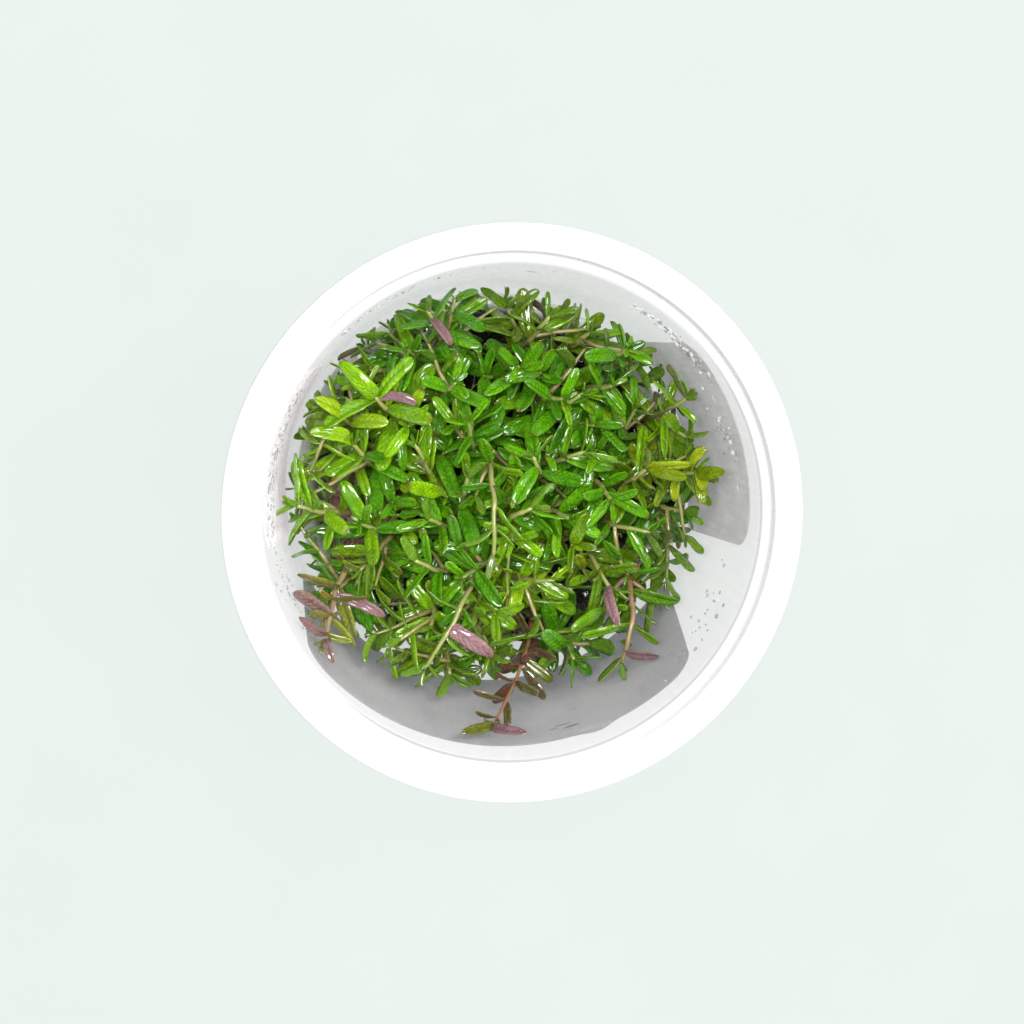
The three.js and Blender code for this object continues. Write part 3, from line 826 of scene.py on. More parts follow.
def add_leaf_blade(skin, leaf, roll):
    """A plump, oblong blade: two domed halves that meet in a groove over the midrib."""
    share = 0.5 - 0.5 * np.cos(np.linspace(0, 1, LEAF_STATIONS) * math.pi * 0.94)
    share = share / share[-1] * 0.985
    line = bezier(leaf.controls, share)
    step = bezier(leaf.controls, np.minimum(1, share + 0.01)) - bezier(leaf.controls, share - 0.01)
    along = units(step)
    twist = math.radians(roll(-LEAF_BANK, LEAF_BANK)) + math.radians(roll(-LEAF_TWIST, LEAF_TWIST)) * share
    wide = leaf.wide * np.cos(twist)[:, None] + np.cross(along, leaf.wide) * np.sin(twist)[:, None]
    up = np.cross(along, wide)
    length = float(np.linalg.norm(step, axis=1).mean() / 0.02)
    blunt, shoulder = roll(1.9, 2.8), roll(0.6, 0.74)
    swell = np.sin(np.minimum(1, share / roll(0.22, 0.42)) * math.pi / 2)
    tip = np.sqrt(np.maximum(0, 1 - np.maximum(0, (share - shoulder) / (1 - shoulder)) ** blunt))
    half = min(leaf.width * LEAF_FULLNESS, length / SLENDERNESS) / 2 * (0.4 + 0.6 * swell) * tip
    fold, dome, groove = roll(-0.28, 0.5), roll(0.08, 0.26), roll(0.04, 0.1)
    wave_high, wave_long, wave_start = roll(0.0, 0.13), roll(1.0, 2.2), roll(0, 6)
    thick = LEAF_THICKNESS * fullness(length) * np.sqrt(half / half.max())
    sides = np.concatenate([TOP_SIDES, UNDER_SIDES])
    under = np.concatenate([np.zeros(len(TOP_SIDES)), np.ones(len(UNDER_SIDES))])
    under[0] = under[len(TOP_SIDES)] = 0.5
    edge = np.sqrt(np.maximum(0, 1 - sides**2)) * np.where(under > 0.5, -0.5, 0.5)
    lobes = fold * np.abs(sides) + dome * np.sin(math.pi * np.abs(sides)) * np.where(under > 0.5, 0.8, 1)
    phase = share[:, None] * wave_long * 2 * math.pi + wave_start + 2 * np.sign(sides)
    wave = wave_high * np.sin(phase) * sides**2
    rib = groove * np.exp(-((sides / 0.16) ** 2))
    height = thick[:, None] * edge + half[:, None] * (lobes + wave - rib)
    out = wide[:, None] * (half[:, None] * sides)[..., None]
    rows = line[:, None] + out + up[:, None] * height[..., None]
    corners = np.vstack([rows.reshape(-1, 3), leaf.controls[2][None] - along[-1:] * 0.02])
    around = len(sides)
    faces = ring_faces(LEAF_STATIONS, around, last_cap=False)
    faces += fan((LEAF_STATIONS - 1) * around, around, LEAF_STATIONS * around)
    place = np.zeros((len(corners), 3))
    place[:-1, 0] = np.repeat(share, around)
    place[:-1, 1] = np.tile(sides, LEAF_STATIONS)
    place[:-1, 2] = np.tile(under, LEAF_STATIONS)
    place[-1] = (1, 0, 0.5)
    skin.add(corners, faces, place, (roll(), leaf.age, leaf.tint))


STEM_STATIONS = 44
STEM_SIDES = 10


def add_stem_tube(skin, stem, roll, thickness, root_depth=0):
    """A round stem that swells at its leaf pairs and sways a little between them."""
    t = np.linspace(0, 1, STEM_STATIONS)
    line = bezier(stem.controls, t)
    along = units(np.gradient(line, axis=0))
    line[0] = line[0] - along[0] * root_depth
    places = [pair_place(stem, pair) for pair in range(stem.pairs)] + list(LOWER_PAIRS)
    near = np.exp(-(((t[:, None] - np.array(places)) * stem.length / 0.75) ** 2)).max(axis=1)
    sway = 0.16 * np.sin(t * stem.length * 0.55 + roll(0, 6)) * np.sin(math.pi * t)
    radius = stem_width(t) * (0.46 + 0.14 * near) * thickness
    radius = radius * np.minimum(1, 0.35 + (1 - t) * 12)
    side = np.cross(along, stem.across)
    turn = full_turn(STEM_SIDES)
    ring = stem.across * np.cos(turn)[None, :, None] + side[:, None] * np.sin(turn)[None, :, None]
    ring = ring * radius[:, None, None] * (1 + 0.07 * np.cos(4 * turn))[None, :, None]
    corners = (line + stem.across * sway[:, None])[:, None] + ring
    place = np.zeros((STEM_STATIONS * STEM_SIDES, 3))
    place[:, 0] = np.repeat(t, STEM_SIDES)
    place[:, 1] = np.repeat(near, STEM_SIDES)
    skin.add(corners.reshape(-1, 3), ring_faces(STEM_STATIONS, STEM_SIDES), place, (roll(), 0, 0), 1)


def rounded(profile, radius, steps=4):
    """A closed profile of [radius, height] points with its inner corners rounded off."""
    made = [np.array(profile[0], float)]
    for before, corner, after in zip(profile, profile[1:], profile[2:]):
        before, corner, after = (np.array(point, float) for point in (before, corner, after))
        reach = min(radius, 0.45 * np.linalg.norm(corner - before), 0.45 * np.linalg.norm(after - corner))
        a, b = corner + unit(before - corner) * reach, corner + unit(after - corner) * reach
        made += [bezier((a, corner, b), share) for share in np.linspace(0, 1, steps)]
    return np.array(made + [np.array(profile[-1], float)])


def lathe_body(skin, profile, segments):
    """A closed body of revolution about +Z, from axis to axis, its outside first."""
    turn = full_turn(segments)
    inner = profile[1:-1]
    height = np.repeat(inner[:, 1:], segments, axis=1)
    corners = stacked(inner[:, :1] * np.cos(turn), inner[:, :1] * np.sin(turn), height).reshape(-1, 3)
    first, last = len(corners), len(corners) + 1
    faces = ring_faces(len(inner), segments, False, False) + flipped(fan(0, segments, first))
    faces += fan((len(inner) - 1) * segments, segments, last)
    skin.add(np.vstack([corners, up_by(profile[0][1]), up_by(profile[-1][1])]), faces)


def cup_profile():
    under_ledge = MOUTH_HEIGHT - 1.4
    skirt_foot = CUP_HEIGHT - SKIRT_DEPTH
    under_flange = CUP_HEIGHT - FLANGE_THICKNESS
    fillet_top = FLOOR_HEIGHT + FLOOR_FILLET
    outside = [
        [0, FOOT_HEIGHT],
        [FOOT_INNER_RADIUS, FOOT_HEIGHT],
        [FOOT_INNER_RADIUS + 0.5, 0],
        [FOOT_OUTER_RADIUS, 0],
        [inner_radius(fillet_top) + WALL_THICKNESS, fillet_top - 0.6],
        [inner_radius(under_ledge) + WALL_THICKNESS, under_ledge],
        [LEDGE_RADIUS + WALL_THICKNESS, under_ledge + 0.9],
        [FLANGE_INNER_RADIUS + 0.6, under_flange],
        [RIM_RADIUS - 1, under_flange],
        [RIM_RADIUS - 1, skirt_foot],
        [RIM_RADIUS, skirt_foot],
        [RIM_RADIUS, CUP_HEIGHT],
    ]
    inside = [
        [FLANGE_INNER_RADIUS, CUP_HEIGHT],
        [FLANGE_INNER_RADIUS - 0.35, CUP_HEIGHT - 1.3],
        [LEDGE_RADIUS + 0.55, CUP_HEIGHT - LEDGE_DROP + 0.5],
        [LEDGE_RADIUS, CUP_HEIGHT - LEDGE_DROP],
        [MOUTH_RADIUS + 0.25, MOUTH_HEIGHT + 0.1],
        [MOUTH_RADIUS - 0.1, MOUTH_HEIGHT - 0.7],
        [inner_radius(fillet_top), fillet_top],
        [FLOOR_RADIUS - FLOOR_FILLET, FLOOR_HEIGHT],
        [0, FLOOR_HEIGHT],
    ]
    return rounded(outside + inside, CORNER_RADIUS)


def build_cup_mesh():
    skin = Skin()
    lathe_body(skin, cup_profile(), FINE_SEGMENTS)
    return skin.to_object("moulded_cup", [milky_plastic()])


LABEL_COLUMNS = 90
LABEL_ROWS = 40

# Height over a label's middle from which a flared label grows wider downwards
FLARE_FROM = 15


def rolled_point(x, v, away, middle, angle):
    """A point of a flat sheet, rolled round the outside of the tapered wall."""
    to_point = (inner_radius(middle) + WALL_THICKNESS) / math.sin(WALL_TAPER)
    slant = np.hypot(x, to_point + v)
    turn = math.radians(angle) + np.arctan2(x, to_point + v) / math.sin(WALL_TAPER)
    radius = slant * math.sin(WALL_TAPER) + away * math.cos(WALL_TAPER)
    z = middle + (slant - to_point) * math.cos(WALL_TAPER) - away * math.sin(WALL_TAPER)
    return stacked(radius * np.cos(turn), radius * np.sin(turn), z)


def add_label_sheet(skin, width, height, middle, angle, creases=(), flare=0.0):
    across = np.linspace(-1, 1, LABEL_COLUMNS)
    x = width / 2 * np.sin(across * math.pi / 2)
    past = np.clip(np.abs(x) - (width / 2 - LABEL_CORNER), 0, LABEL_CORNER)
    cut = LABEL_CORNER - np.sqrt(LABEL_CORNER**2 - past**2)
    share = np.linspace(-1, 1, LABEL_ROWS)
    v = share[:, None] * (height / 2 - cut * 0.97)[None, :]
    x = x * (1 + flare * (FLARE_FROM - v))
    lift = np.zeros_like(v)
    for at_x, at_v, slope, long, high in creases:
        off = (v - at_v) * math.cos(slope) - (x - at_x) * math.sin(slope)
        run = (x - at_x) * math.cos(slope) + (v - at_v) * math.sin(slope)
        lift = lift + high * np.exp(-((off / 0.7) ** 2) - (run / long) ** 2)
    sheets = [
        rolled_point(x, v, LABEL_GAP + lift + side * LABEL_THICKNESS, middle, angle).reshape(-1, 3)
        for side in (0, 1)
    ]
    place = stacked(x / width * 2, v / height * 2, lift / 0.5).reshape(-1, 3)
    count = LABEL_COLUMNS * LABEL_ROWS
    grid = np.arange(count).reshape(LABEL_ROWS, LABEL_COLUMNS)
    cells = np.stack([grid[:-1, :-1], grid[:-1, 1:], grid[1:, 1:], grid[1:, :-1]], axis=-1).reshape(-1, 4)
    border = np.concatenate([grid[0], grid[1:, -1], grid[-1, -2::-1], grid[-2:0:-1, 0]])
    after = np.roll(border, -1)
    rim = np.stack([border, border + count, after + count, after], axis=-1)
    faces = [*flipped(cells), *(cells + count), *flipped(rim)]
    slots = [1] * len(cells) + [0] * len(cells) + [1] * len(rim)
    skin.add(np.vstack(sheets), faces, np.vstack([place, place]), (0, 0, 0), slots)


# Creases of the front label: place on the sheet, slope, half length and height
FRONT_CREASES = (
    (15.5, 19, 0.3, 5, 0.55),
    (20, 19.5, -0.35, 3, 0.4),
    (-25, 9, 1.2, 9, 0.12),
)


def build_label_mesh(name):
    skin = Skin()
    creases = FRONT_CREASES if name == "label_front" else ()
    add_label_sheet(skin, creases=creases, **LABELS[name])
    return skin.to_object(f"{name}_sheet", [label_face(), label_reverse(name)])


GEL_RINGS = 60
GEL_COLUMNS = 150


def lumps(x, y, seed, size):
    """A few crossed waves that look like broken jelly, roughly between -1 and 1."""
    roll = make_dice(seed)
    total = np.zeros_like(x)
    for step in range(7):
        turn, phase, pitch = roll(0, math.pi), roll(0, 6), roll(0.6, 1.6) * (1 + 0.3 * step) / size
        wave = np.sin((x * math.cos(turn) + y * math.sin(turn)) * pitch + phase)
        total = total + wave / (1.4 + 0.5 * step)
    return np.tanh(total)


def disc_body(skin, rings, columns, place_top, place_bottom):
    """A closed disc from two functions of share (0 in the middle to 1 at the edge) and angle."""
    share = np.linspace(0, 1, rings)[1:]
    grid_share, grid_angle = np.meshgrid(share, full_turn(columns), indexing="ij")
    top = place_top(grid_share, grid_angle)
    bottom = place_bottom(grid_share[::-1], grid_angle)
    corners = np.vstack([top.reshape(-1, 3), bottom.reshape(-1, 3)])
    middle = np.zeros((1, 1))
    middles = [place(middle, middle).reshape(-1, 3) for place in (place_top, place_bottom)]
    count, rows = len(corners), 2 * (rings - 1)
    faces = flipped(ring_faces(rows, columns, False, False)) + fan(0, columns, count)
    faces += flipped(fan((rows - 1) * columns, columns, count + 1))
    skin.add(np.vstack([corners, *middles]), faces)


def build_gel_mesh():
    under = FLOOR_HEIGHT + GAP

    def top(share, angle):
        reach = gel_reach(angle, GEL_TOP)
        edge = np.clip((1 - share) / 0.05, 0, 1)
        radius = share * (reach - 0.5 * (1 - np.sqrt(edge)))
        x, y = radius * np.cos(angle), radius * np.sin(angle)
        bumpy = 0.55 * lumps(x, y, 51, 2.6) + 0.22 * lumps(x, y, 52, 0.9)
        z = gel_top(x, y) + bumpy + heap(GEL_KNOB, x, y) - 1.3 * (1 - np.sqrt(edge))
        return stacked(x, y, z)

    def bottom(share, angle):
        radius = share * (gel_reach(angle, under) - 0.6)
        return stacked(radius * np.cos(angle), radius * np.sin(angle), under + 0 * share)

    skin = Skin()
    disc_body(skin, GEL_RINGS, GEL_COLUMNS, top, bottom)
    return skin.to_object("slumped_gel", [wet_gel()])


THREAD_SIDES = 6
THREAD_STEPS = 16


def add_thread(skin, points, radius, roll, slot=0):
    """A root or strand along a list of points, thinning towards its end."""
    points = np.array(points, float)
    along = units(np.gradient(points, axis=0))
    side = units(np.cross(along, [0.3, 0.2, 0.93]))
    other = np.cross(along, side)
    turn = full_turn(THREAD_SIDES)
    thin = radius * np.linspace(1, 0.45, len(points))
    ring = side[:, None] * np.cos(turn)[None, :, None] + other[:, None] * np.sin(turn)[None, :, None]
    corners = points[:, None] + ring * thin[:, None, None]
    faces = ring_faces(len(points), THREAD_SIDES)
    skin.add(corners.reshape(-1, 3), faces, (0, 0, 0), (roll(), roll(), 0), slot)


def wandering(start, above, lengths, curl, roll):
    """Points of a root that wanders at a height above the ground."""
    x, y = start
    heading, length = roll(0, 6.3), roll(*lengths)
    points = []
    for _ in range(THREAD_STEPS):
        points.append((x, y, float(ground(x, y) + above)))
        heading += roll(-curl, curl)
        x += math.cos(heading) * length / THREAD_STEPS
        y += math.sin(heading) * length / THREAD_STEPS
    return points


MAT_RINGS = 30
MAT_COLUMNS = 80
MAT_STRANDS = 90


def build_mat_mesh():
    def shaped(share, angle, side):
        x = MAT["x"] + share * MAT["half_x"] * np.cos(angle)
        y = MAT["y"] + share * MAT["half_y"] * np.sin(angle)
        low = gel_top(x, y) + GAP + 0.35
        edge = np.sqrt(np.clip(1 - share**6, 0, 1))
        bumpy = 0.45 * lumps(x, y, 61, 1.3) * (1 - share**4)
        high = np.maximum(mat_top(x, y) - 0.5 + bumpy, low + 0.3)
        return stacked(x, y, low + (high - low) * edge * side)

    roll = make_dice(FINE_SEED + 60)
    skin = Skin()
    disc_body(skin, MAT_RINGS, MAT_COLUMNS, partial(shaped, side=1), partial(shaped, side=0))
    for _ in range(MAT_STRANDS):
        turn, out = roll(0, 2 * math.pi), math.sqrt(roll()) * 0.8
        x = MAT["x"] + MAT["half_x"] * out * math.cos(turn)
        y = MAT["y"] + MAT["half_y"] * out * math.sin(turn)
        points = wandering((x, y), roll(-0.35, 0.25) - 0.3, (4, 10), 0.6, roll)
        add_thread(skin, points, roll(0.12, 0.34), roll, slot=1)
    return skin.to_object("old_root_mat", [brown_tissue(), pale_root()])


def build_roots_mesh(count):
    """Thin roots that run over the gel and hang between the stems."""
    roll = make_dice(FINE_SEED + 70)
    skin = Skin()
    for _ in range(count):
        turn, out = roll(0, 2 * math.pi), 30 * math.sqrt(roll())
        start = out * math.cos(turn), out * math.sin(turn)
        above = roll(0.1, 0.5) + (roll(2, 9) if roll() < 0.3 else 0)
        points = wandering(start, above, (6, 15), 0.45, roll)
        points = [p for p in points if math.hypot(p[0], p[1]) < inner_radius(p[2]) - 1.5]
        if len(points) > 5:
            add_thread(skin, points, roll(0.11, 0.24), roll)
    return skin.to_object("loose_roots", [pale_root()])


DROP_SIDES = 12
DROP_ROWS = np.array([1.0, 0.9, 0.62, 0.3])
DROP_RISE = 0.62


def add_drop(skin, turn, z, half_long, half_high, kind):
    """A flattened dome on the inside of the wall, at an angle in degrees and a height."""
    turn = math.radians(turn)
    out = np.array([math.cos(turn), math.sin(turn), 0])
    side = np.array([-math.sin(turn), math.cos(turn), 0])
    up = out * math.sin(WALL_TAPER) + up_by(math.cos(WALL_TAPER))
    inward = unit(np.cross(up, side))
    if np.dot(inward, out) > 0:
        inward = -inward
    centre = out * inner_radius(z) + up_by(z) - inward * 0.03
    angle = full_turn(DROP_SIDES)
    flat = side * np.cos(angle)[:, None] * half_long + up * np.sin(angle)[:, None] * half_high
    rise = DROP_RISE * min(half_long, half_high)
    corners = [centre + flat * row + inward * rise * math.sqrt(1 - row**2) for row in DROP_ROWS]
    corners = np.vstack([*corners, centre + inward * rise])
    rows = len(DROP_ROWS)
    faces = ring_faces(rows, DROP_SIDES, last_cap=False)
    faces += fan((rows - 1) * DROP_SIDES, DROP_SIDES, rows * DROP_SIDES)
    place = np.zeros((len(corners), 3))
    place[:-1, 0] = np.repeat(DROP_ROWS, DROP_SIDES)
    skin.add(corners, faces, place, kind)


# Where breath has settled on the wall: angle, spread, height, spread, number, sizes, share of white drops,
# which are painted glints
DROP_FIELDS = (
    (172, 30, 44, 9, 190, (0.14, 0.46), 0.0),
    (45, 15, 47, 4, 110, (0.18, 0.55), 0.7),
    (18, 14, 42, 6, 34, (0.2, 0.55), 0.5),
    (-35, 22, 44, 7, 34, (0.2, 0.5), 0.2),
    (118, 26, 49, 5, 50, (0.14, 0.4), 0.2),
    (-150, 22, 42, 9, 46, (0.14, 0.4), 0.0),
)


# Smears and drops that stand out: angle, height, half length round the wall, half height, tone, which
# paints them from dark shade to a white glint
SMEARS = (
    (168.4, 45.5, 1.5, 0.2, 0.03),
    (163.5, 41.5, 0.6, 0.25, 0.03),
    (176, 40, 0.4, 0.22, 0.2),
    (-73.5, 44.2, 1.9, 0.34, 0.08),
    (-75.5, 42.2, 2.1, 0.26, 0.12),
    (-78, 43.4, 1.0, 0.2, 0.1),
    (-70.5, 35.5, 1.7, 0.12, 0.15),
    (-71.5, 33, 1.3, 0.1, 0.15),
    (44, 48.5, 1.3, 0.25, 1.0),
    (38, 46.5, 1.0, 0.3, 1.0),
    (27, 44, 0.9, 0.22, 1.0),
    (4, 44.5, 0.8, 0.25, 1.0),
    (84, 45, 1.4, 0.35, 0.3),
    (79.5, 50.5, 0.4, 0.2, 0.2),
)


def near_middle(roll):
    """A number between -1 and 1, more often near 0."""
    return (roll(-1, 1) + roll(-1, 1)) / 2


def build_drops_mesh():
    """Condensed drops: flattened, sometimes run-down domes on the inside of the wall."""
    roll = make_dice(FINE_SEED + 80)
    skin = Skin()
    for middle, spread, height, rise, count, (small, large), white in DROP_FIELDS:
        for _ in range(count):
            turn = middle + spread * near_middle(roll)
            z = height + rise * near_middle(roll)
            size = small + (large - small) * roll() ** 2.2
            run = roll(1, 1.5) if roll() < 0.8 else roll(1.8, 3.4)
            add_drop(skin, turn, z, size, size * run, (roll() - white, 0, 0))
    for turn, z, long, high, tone in SMEARS:
        add_drop(skin, turn, z, long, high, (roll(), 1, tone))
    return skin.to_object("wall_drops", [clear_water()])


def build_shoot_mesh(stem, name, roll):
    skin = Skin()
    add_stem_tube(skin, stem, roll, RED_THICKNESS if stem.colour == "red" else 1, ROOT_DEPTH)
    for branch in stem.branches:
        add_stem_tube(skin, branch, roll, BRANCH_THICKNESS)
    for shoot in [stem, *stem.branches]:
        for leaf in [*shoot.leaves, *shoot.bud]:
            add_leaf_blade(skin, leaf, roll)
    return skin.to_object(name, [leaf_blade(stem.colour), stem_skin(stem.colour)])


# Rings of the rim that look greyer from above: a grey ring over the groove, partly thinner plastic and
# partly painted shade, and a painted shadow line at the mouth on one side. Inner and outer radius, tone,
# and on one side only
RIM_SHADE_BANDS = ((44.5, 45.6, 0.8, False), (MOUTH_RADIUS, 43.62, 0.1, True))
BAND_BLUR = 0.12

# Smoothness of the water film's ripples: low, so that its glints stay large enough to see
FILM_DETAIL = 0.4

# How light each label looks from inside, a painted shade that is darker where the label stands in shade,
# and a painted glow that stands in for the daylight shining through it
REVERSE_SHADE_AND_GLOW = {
    "label_front": (0.03, (0, 0.045, 0.02)),
    "label_side": (0.26, (0.12, 0.155, 0.13)),
    "label_back": (0.95, (0.3, 0.3, 0.3)),
}

# Light that spreads inside the labels' film
SCATTER = {"subsurface_weight": 1.0, "subsurface_radius": (1, 1, 1), "subsurface_scale": MM}


def rgba(colour):
    return (*tuple(colour)[:3], 1.0)


class Tree:
    """Short calls that add nodes to one node tree."""

    def __init__(self, tree):
        self.tree = tree

    def add(self, kind, inputs=(), **settings):
        node = self.tree.nodes.new(kind)
        for name, value in settings.items():
            setattr(node, name, value)
        for socket, value in dict(inputs).items():
            self.feed(node.inputs[socket], value)
        return node

    def feed(self, socket, value):
        if isinstance(value, bpy.types.NodeSocket):
            self.tree.links.new(value, socket)
        else:
            socket.default_value = rgba(value) if socket.type == "RGBA" else value

    def math(self, operation, *values):
        node = self.add("ShaderNodeMath", operation=operation)
        for socket, value in zip(node.inputs, values):
            self.feed(socket, value)
        return node.outputs[0]

    def times(self, product, *others):
        for other in others:
            product = self.math("MULTIPLY", product, other)
        return product

    def plus(self, a, b):
        return self.math("ADD", a, b)

    def minus(self, a, b):
        return self.math("SUBTRACT", a, b)

    def from_axis(self, x, y):
        return self.math("SQRT", self.plus(self.times(x, x), self.times(y, y)))

    def mix(self, factor, a, b):
        node = self.add("ShaderNodeMix", data_type="RGBA", clamp_factor=True)
        for index, value in ((0, factor), (6, a), (7, b)):
            self.feed(node.inputs[index], value)
        return node.outputs[2]

    def between(self, value, low, high, to_low=0.0, to_high=1.0):
        sockets = {"Value": value, "From Min": low, "From Max": high, "To Min": to_low, "To Max": to_high}
        return self.add("ShaderNodeMapRange", sockets, interpolation_type="SMOOTHSTEP").outputs[0]

    def noise(self, vector, scale, detail=3.0, roughness=0.55):
        sockets = {"Vector": vector, "Scale": scale, "Detail": detail, "Roughness": roughness}
        return self.add("ShaderNodeTexNoise", sockets).outputs[0]

    def parts(self, vector):
        return self.add("ShaderNodeSeparateXYZ", {0: vector}).outputs

    def join(self, x, y, z):
        return self.add("ShaderNodeCombineXYZ", {0: x, 1: y, 2: z}).outputs[0]

    def attribute(self, name):
        return self.parts(self.add("ShaderNodeAttribute", attribute_name=name).outputs["Vector"])

    def where(self):
        return self.add("ShaderNodeTexCoord").outputs["Object"]


def socket_name(word):
    return word.replace("_", " ").title().replace("Ior", "IOR")


def pattern(name, inputs, outputs):
    """Turns a function that fills a node group into one that places it. The group is made once."""

    def wrap(fill):
        def make():
            made = bpy.data.node_groups.new(name, "ShaderNodeTree")
            for label, value in inputs.items():
                plain = isinstance(value, float)
                kind = "NodeSocketFloat" if plain else "NodeSocketColor"
                socket = made.interface.new_socket(label, in_out="INPUT", socket_type=kind)
                socket.default_value = value if plain else rgba(value)
            for label in outputs:
                kind = "NodeSocketColor" if label == "Color" else "NodeSocketFloat"
                made.interface.new_socket(label, in_out="OUTPUT", socket_type=kind)
            enter, leave = made.nodes.new("NodeGroupInput"), made.nodes.new("NodeGroupOutput")
            for socket, value in zip(leave.inputs, fill(Tree(made), enter.outputs)):
                made.links.new(value, socket)
            return made

        def place(tree, **values):
            node = tree.add("ShaderNodeGroup", node_tree=bpy.data.node_groups.get(name) or make())
            for word, value in values.items():
                tree.feed(node.inputs[socket_name(word)], value)
            return node.outputs

        return place

    return wrap


@pattern("Wet film", {"Scale": 900.0, "Dry": 0.42, "Wet": 0.2}, ("Height", "Roughness", "Patch"))
def wet_film(tree, given):
    """A thin, uneven film of water: fine ripples for the bump and patches for the roughness."""
    spot = tree.where()
    ripple = tree.noise(spot, given["Scale"], FILM_DETAIL)
    coarse = tree.noise(spot, tree.times(given["Scale"], 0.31), FILM_DETAIL)
    patch = tree.between(coarse, 0.42, 0.62)
    rough = tree.plus(given["Dry"], tree.times(patch, tree.minus(given["Wet"], given["Dry"])))
    return tree.plus(tree.times(ripple, 0.6), coarse), rough, patch


@pattern(
    "Mottle",
    {"Base": (0.5, 0.5, 0.5), "Blotch": (0.2, 0.2, 0.2), "Scale": 400.0, "Amount": 0.6},
    ("Color", "Mask"),
)
def mottle(tree, given):
    """Two scales of blotches that shift one colour towards another."""
    spot = tree.where()
    large = tree.noise(spot, given["Scale"])
    small = tree.noise(spot, tree.times(given["Scale"], 4.3), 2.0)
    mask = tree.between(tree.plus(large, tree.times(small, 0.4)), 0.55, 0.85)
    return tree.mix(tree.times(mask, given["Amount"]), given["Base"], given["Blotch"]), mask


LEAF_COLOURS = {
    "Young": (0.3, 0.5, 0.02),
    "Mature": (0.05, 0.26, 0.005),
    "Deep": (0.02, 0.13, 0.004),
    "Yellowed": (0.4, 0.42, 0.02),
    "Vein": (0.03, 0.1, 0.004),
    "Tip": (0.13, 0.045, 0.015),
    "Under": (0.25, 0.36, 0.14),
    "Under Mauve": (0.36, 0.2, 0.22),
}


@pattern("Leaf pattern", LEAF_COLOURS, ("Color", "Height"))
def leaf_pattern(tree, given):
    """A blade's colour from its age, its streaks, its veins, its tip and its paler underside."""
    along, across, under = tree.attribute("place")
    seed, age, tint = tree.attribute("kind")
    second = tree.math("FRACT", tree.times(seed, 7.31))
    third = tree.math("FRACT", tree.times(seed, 23.7))
    out = tree.math("ABSOLUTE", across)
    base = tree.mix(tree.between(age, 0.0, 0.55), given["Young"], given["Mature"])
    base = tree.mix(tree.between(seed, 0.3, 1.0, 0.0, 0.55), base, given["Deep"])
    base = tree.mix(tree.between(second, 0.72, 1.0, 0.0, 0.6), base, given["Yellowed"])
    base = tree.mix(tree.times(tint, -1.0), base, given["Yellowed"])
    cloud = tree.noise(tree.where(), 330.0)
    base = tree.mix(tree.between(cloud, 0.42, 0.72, 0.0, 0.4), base, given["Deep"])
    stretched = tree.plus(tree.times(along, 2.4), tree.times(seed, 37.0))
    streak = tree.noise(tree.join(stretched, tree.times(across, 5.5), seed), 1.0, 3.0, 0.6)
    base = tree.mix(tree.between(streak, 0.5, 0.7, 0.0, 0.6), base, given["Deep"])
    base = tree.mix(tree.between(streak, 0.48, 0.3, 0.0, 0.4), base, given["Young"])
    striped = tree.mix(tree.between(streak, 0.5, 0.66, 0.0, 0.5), given["Under Mauve"], given["Tip"])
    base = tree.mix(tint, base, striped)
    slant = tree.minus(tree.times(out, 13.0), tree.times(along, 52.0))
    comb = tree.math("SINE", tree.plus(slant, tree.times(streak, 9.0)))
    vein = tree.times(tree.between(comb, -0.2, 1.0), tree.between(out, 1.0, 0.6))
    rib = tree.between(out, 0.1, 0.01)
    lines = tree.math("MAXIMUM", tree.times(vein, 0.08), tree.times(rib, 0.26))
    base = tree.mix(lines, base, given["Vein"])
    tinged = tree.times(tree.between(third, 0.72, 0.92), tree.between(along, 0.88, 0.99), 0.85)
    base = tree.mix(tinged, base, given["Tip"])
    pale = tree.mix(tree.between(third, 0.8, 0.97), given["Under"], given["Under Mauve"])
    pale = tree.mix(tree.times(lines, 0.6), pale, given["Vein"])
    pale = tree.mix(tree.between(streak, 0.45, 0.65, 0.0, 0.5), pale, base)
    color = tree.mix(tree.times(under, 0.8), base, pale)
    return color, tree.minus(tree.times(streak, 0.7), tree.times(vein, 0.2))


@pattern("Plastic haze", {"Scale": 60.0}, ("Mask",))
def plastic_haze(tree, given):
    """Faint cloudiness and drawn streaks of moulded or rolled plastic."""
    spot = tree.where()
    cloud = tree.noise(spot, given["Scale"])
    stretched = tree.add("ShaderNodeMapping", {"Vector": spot, "Scale": (1.0, 1.0, 0.08)}).outputs[0]
    streak = tree.noise(stretched, tree.times(given["Scale"], 9.0), 2.0)
    mask = tree.plus(tree.times(cloud, 0.6), tree.times(streak, 0.4))
    return (tree.between(mask, 0.3, 0.7),)


def material(name):
    """Turns a function that fills a shader into one that gives its material. It is made once."""

    def wrap(fill):
        def get(*kinds):
            label = name.format(*kinds)
            if label not in bpy.data.materials:
                made = bpy.data.materials.new(label)
                made.use_nodes = True
                fill(Tree(made.node_tree), made.node_tree.nodes["Principled BSDF"], *kinds)
            return bpy.data.materials[label]

        return get

    return wrap


def look():
    return bpy.context.scene.culture_cup


def mixed(a, b, share):
    return tuple(x + (y - x) * share for x, y in zip(a, b))


def shade(tree, shader, **values):
    for word, value in values.items():
        tree.feed(shader.inputs[socket_name(word)], value)


def bump(tree, shader, height, strength, distance):
    node = tree.add("ShaderNodeBump", {"Height": height, "Strength": strength, "Distance": distance * MM})
    tree.feed(shader.inputs["Normal"], node.outputs[0])


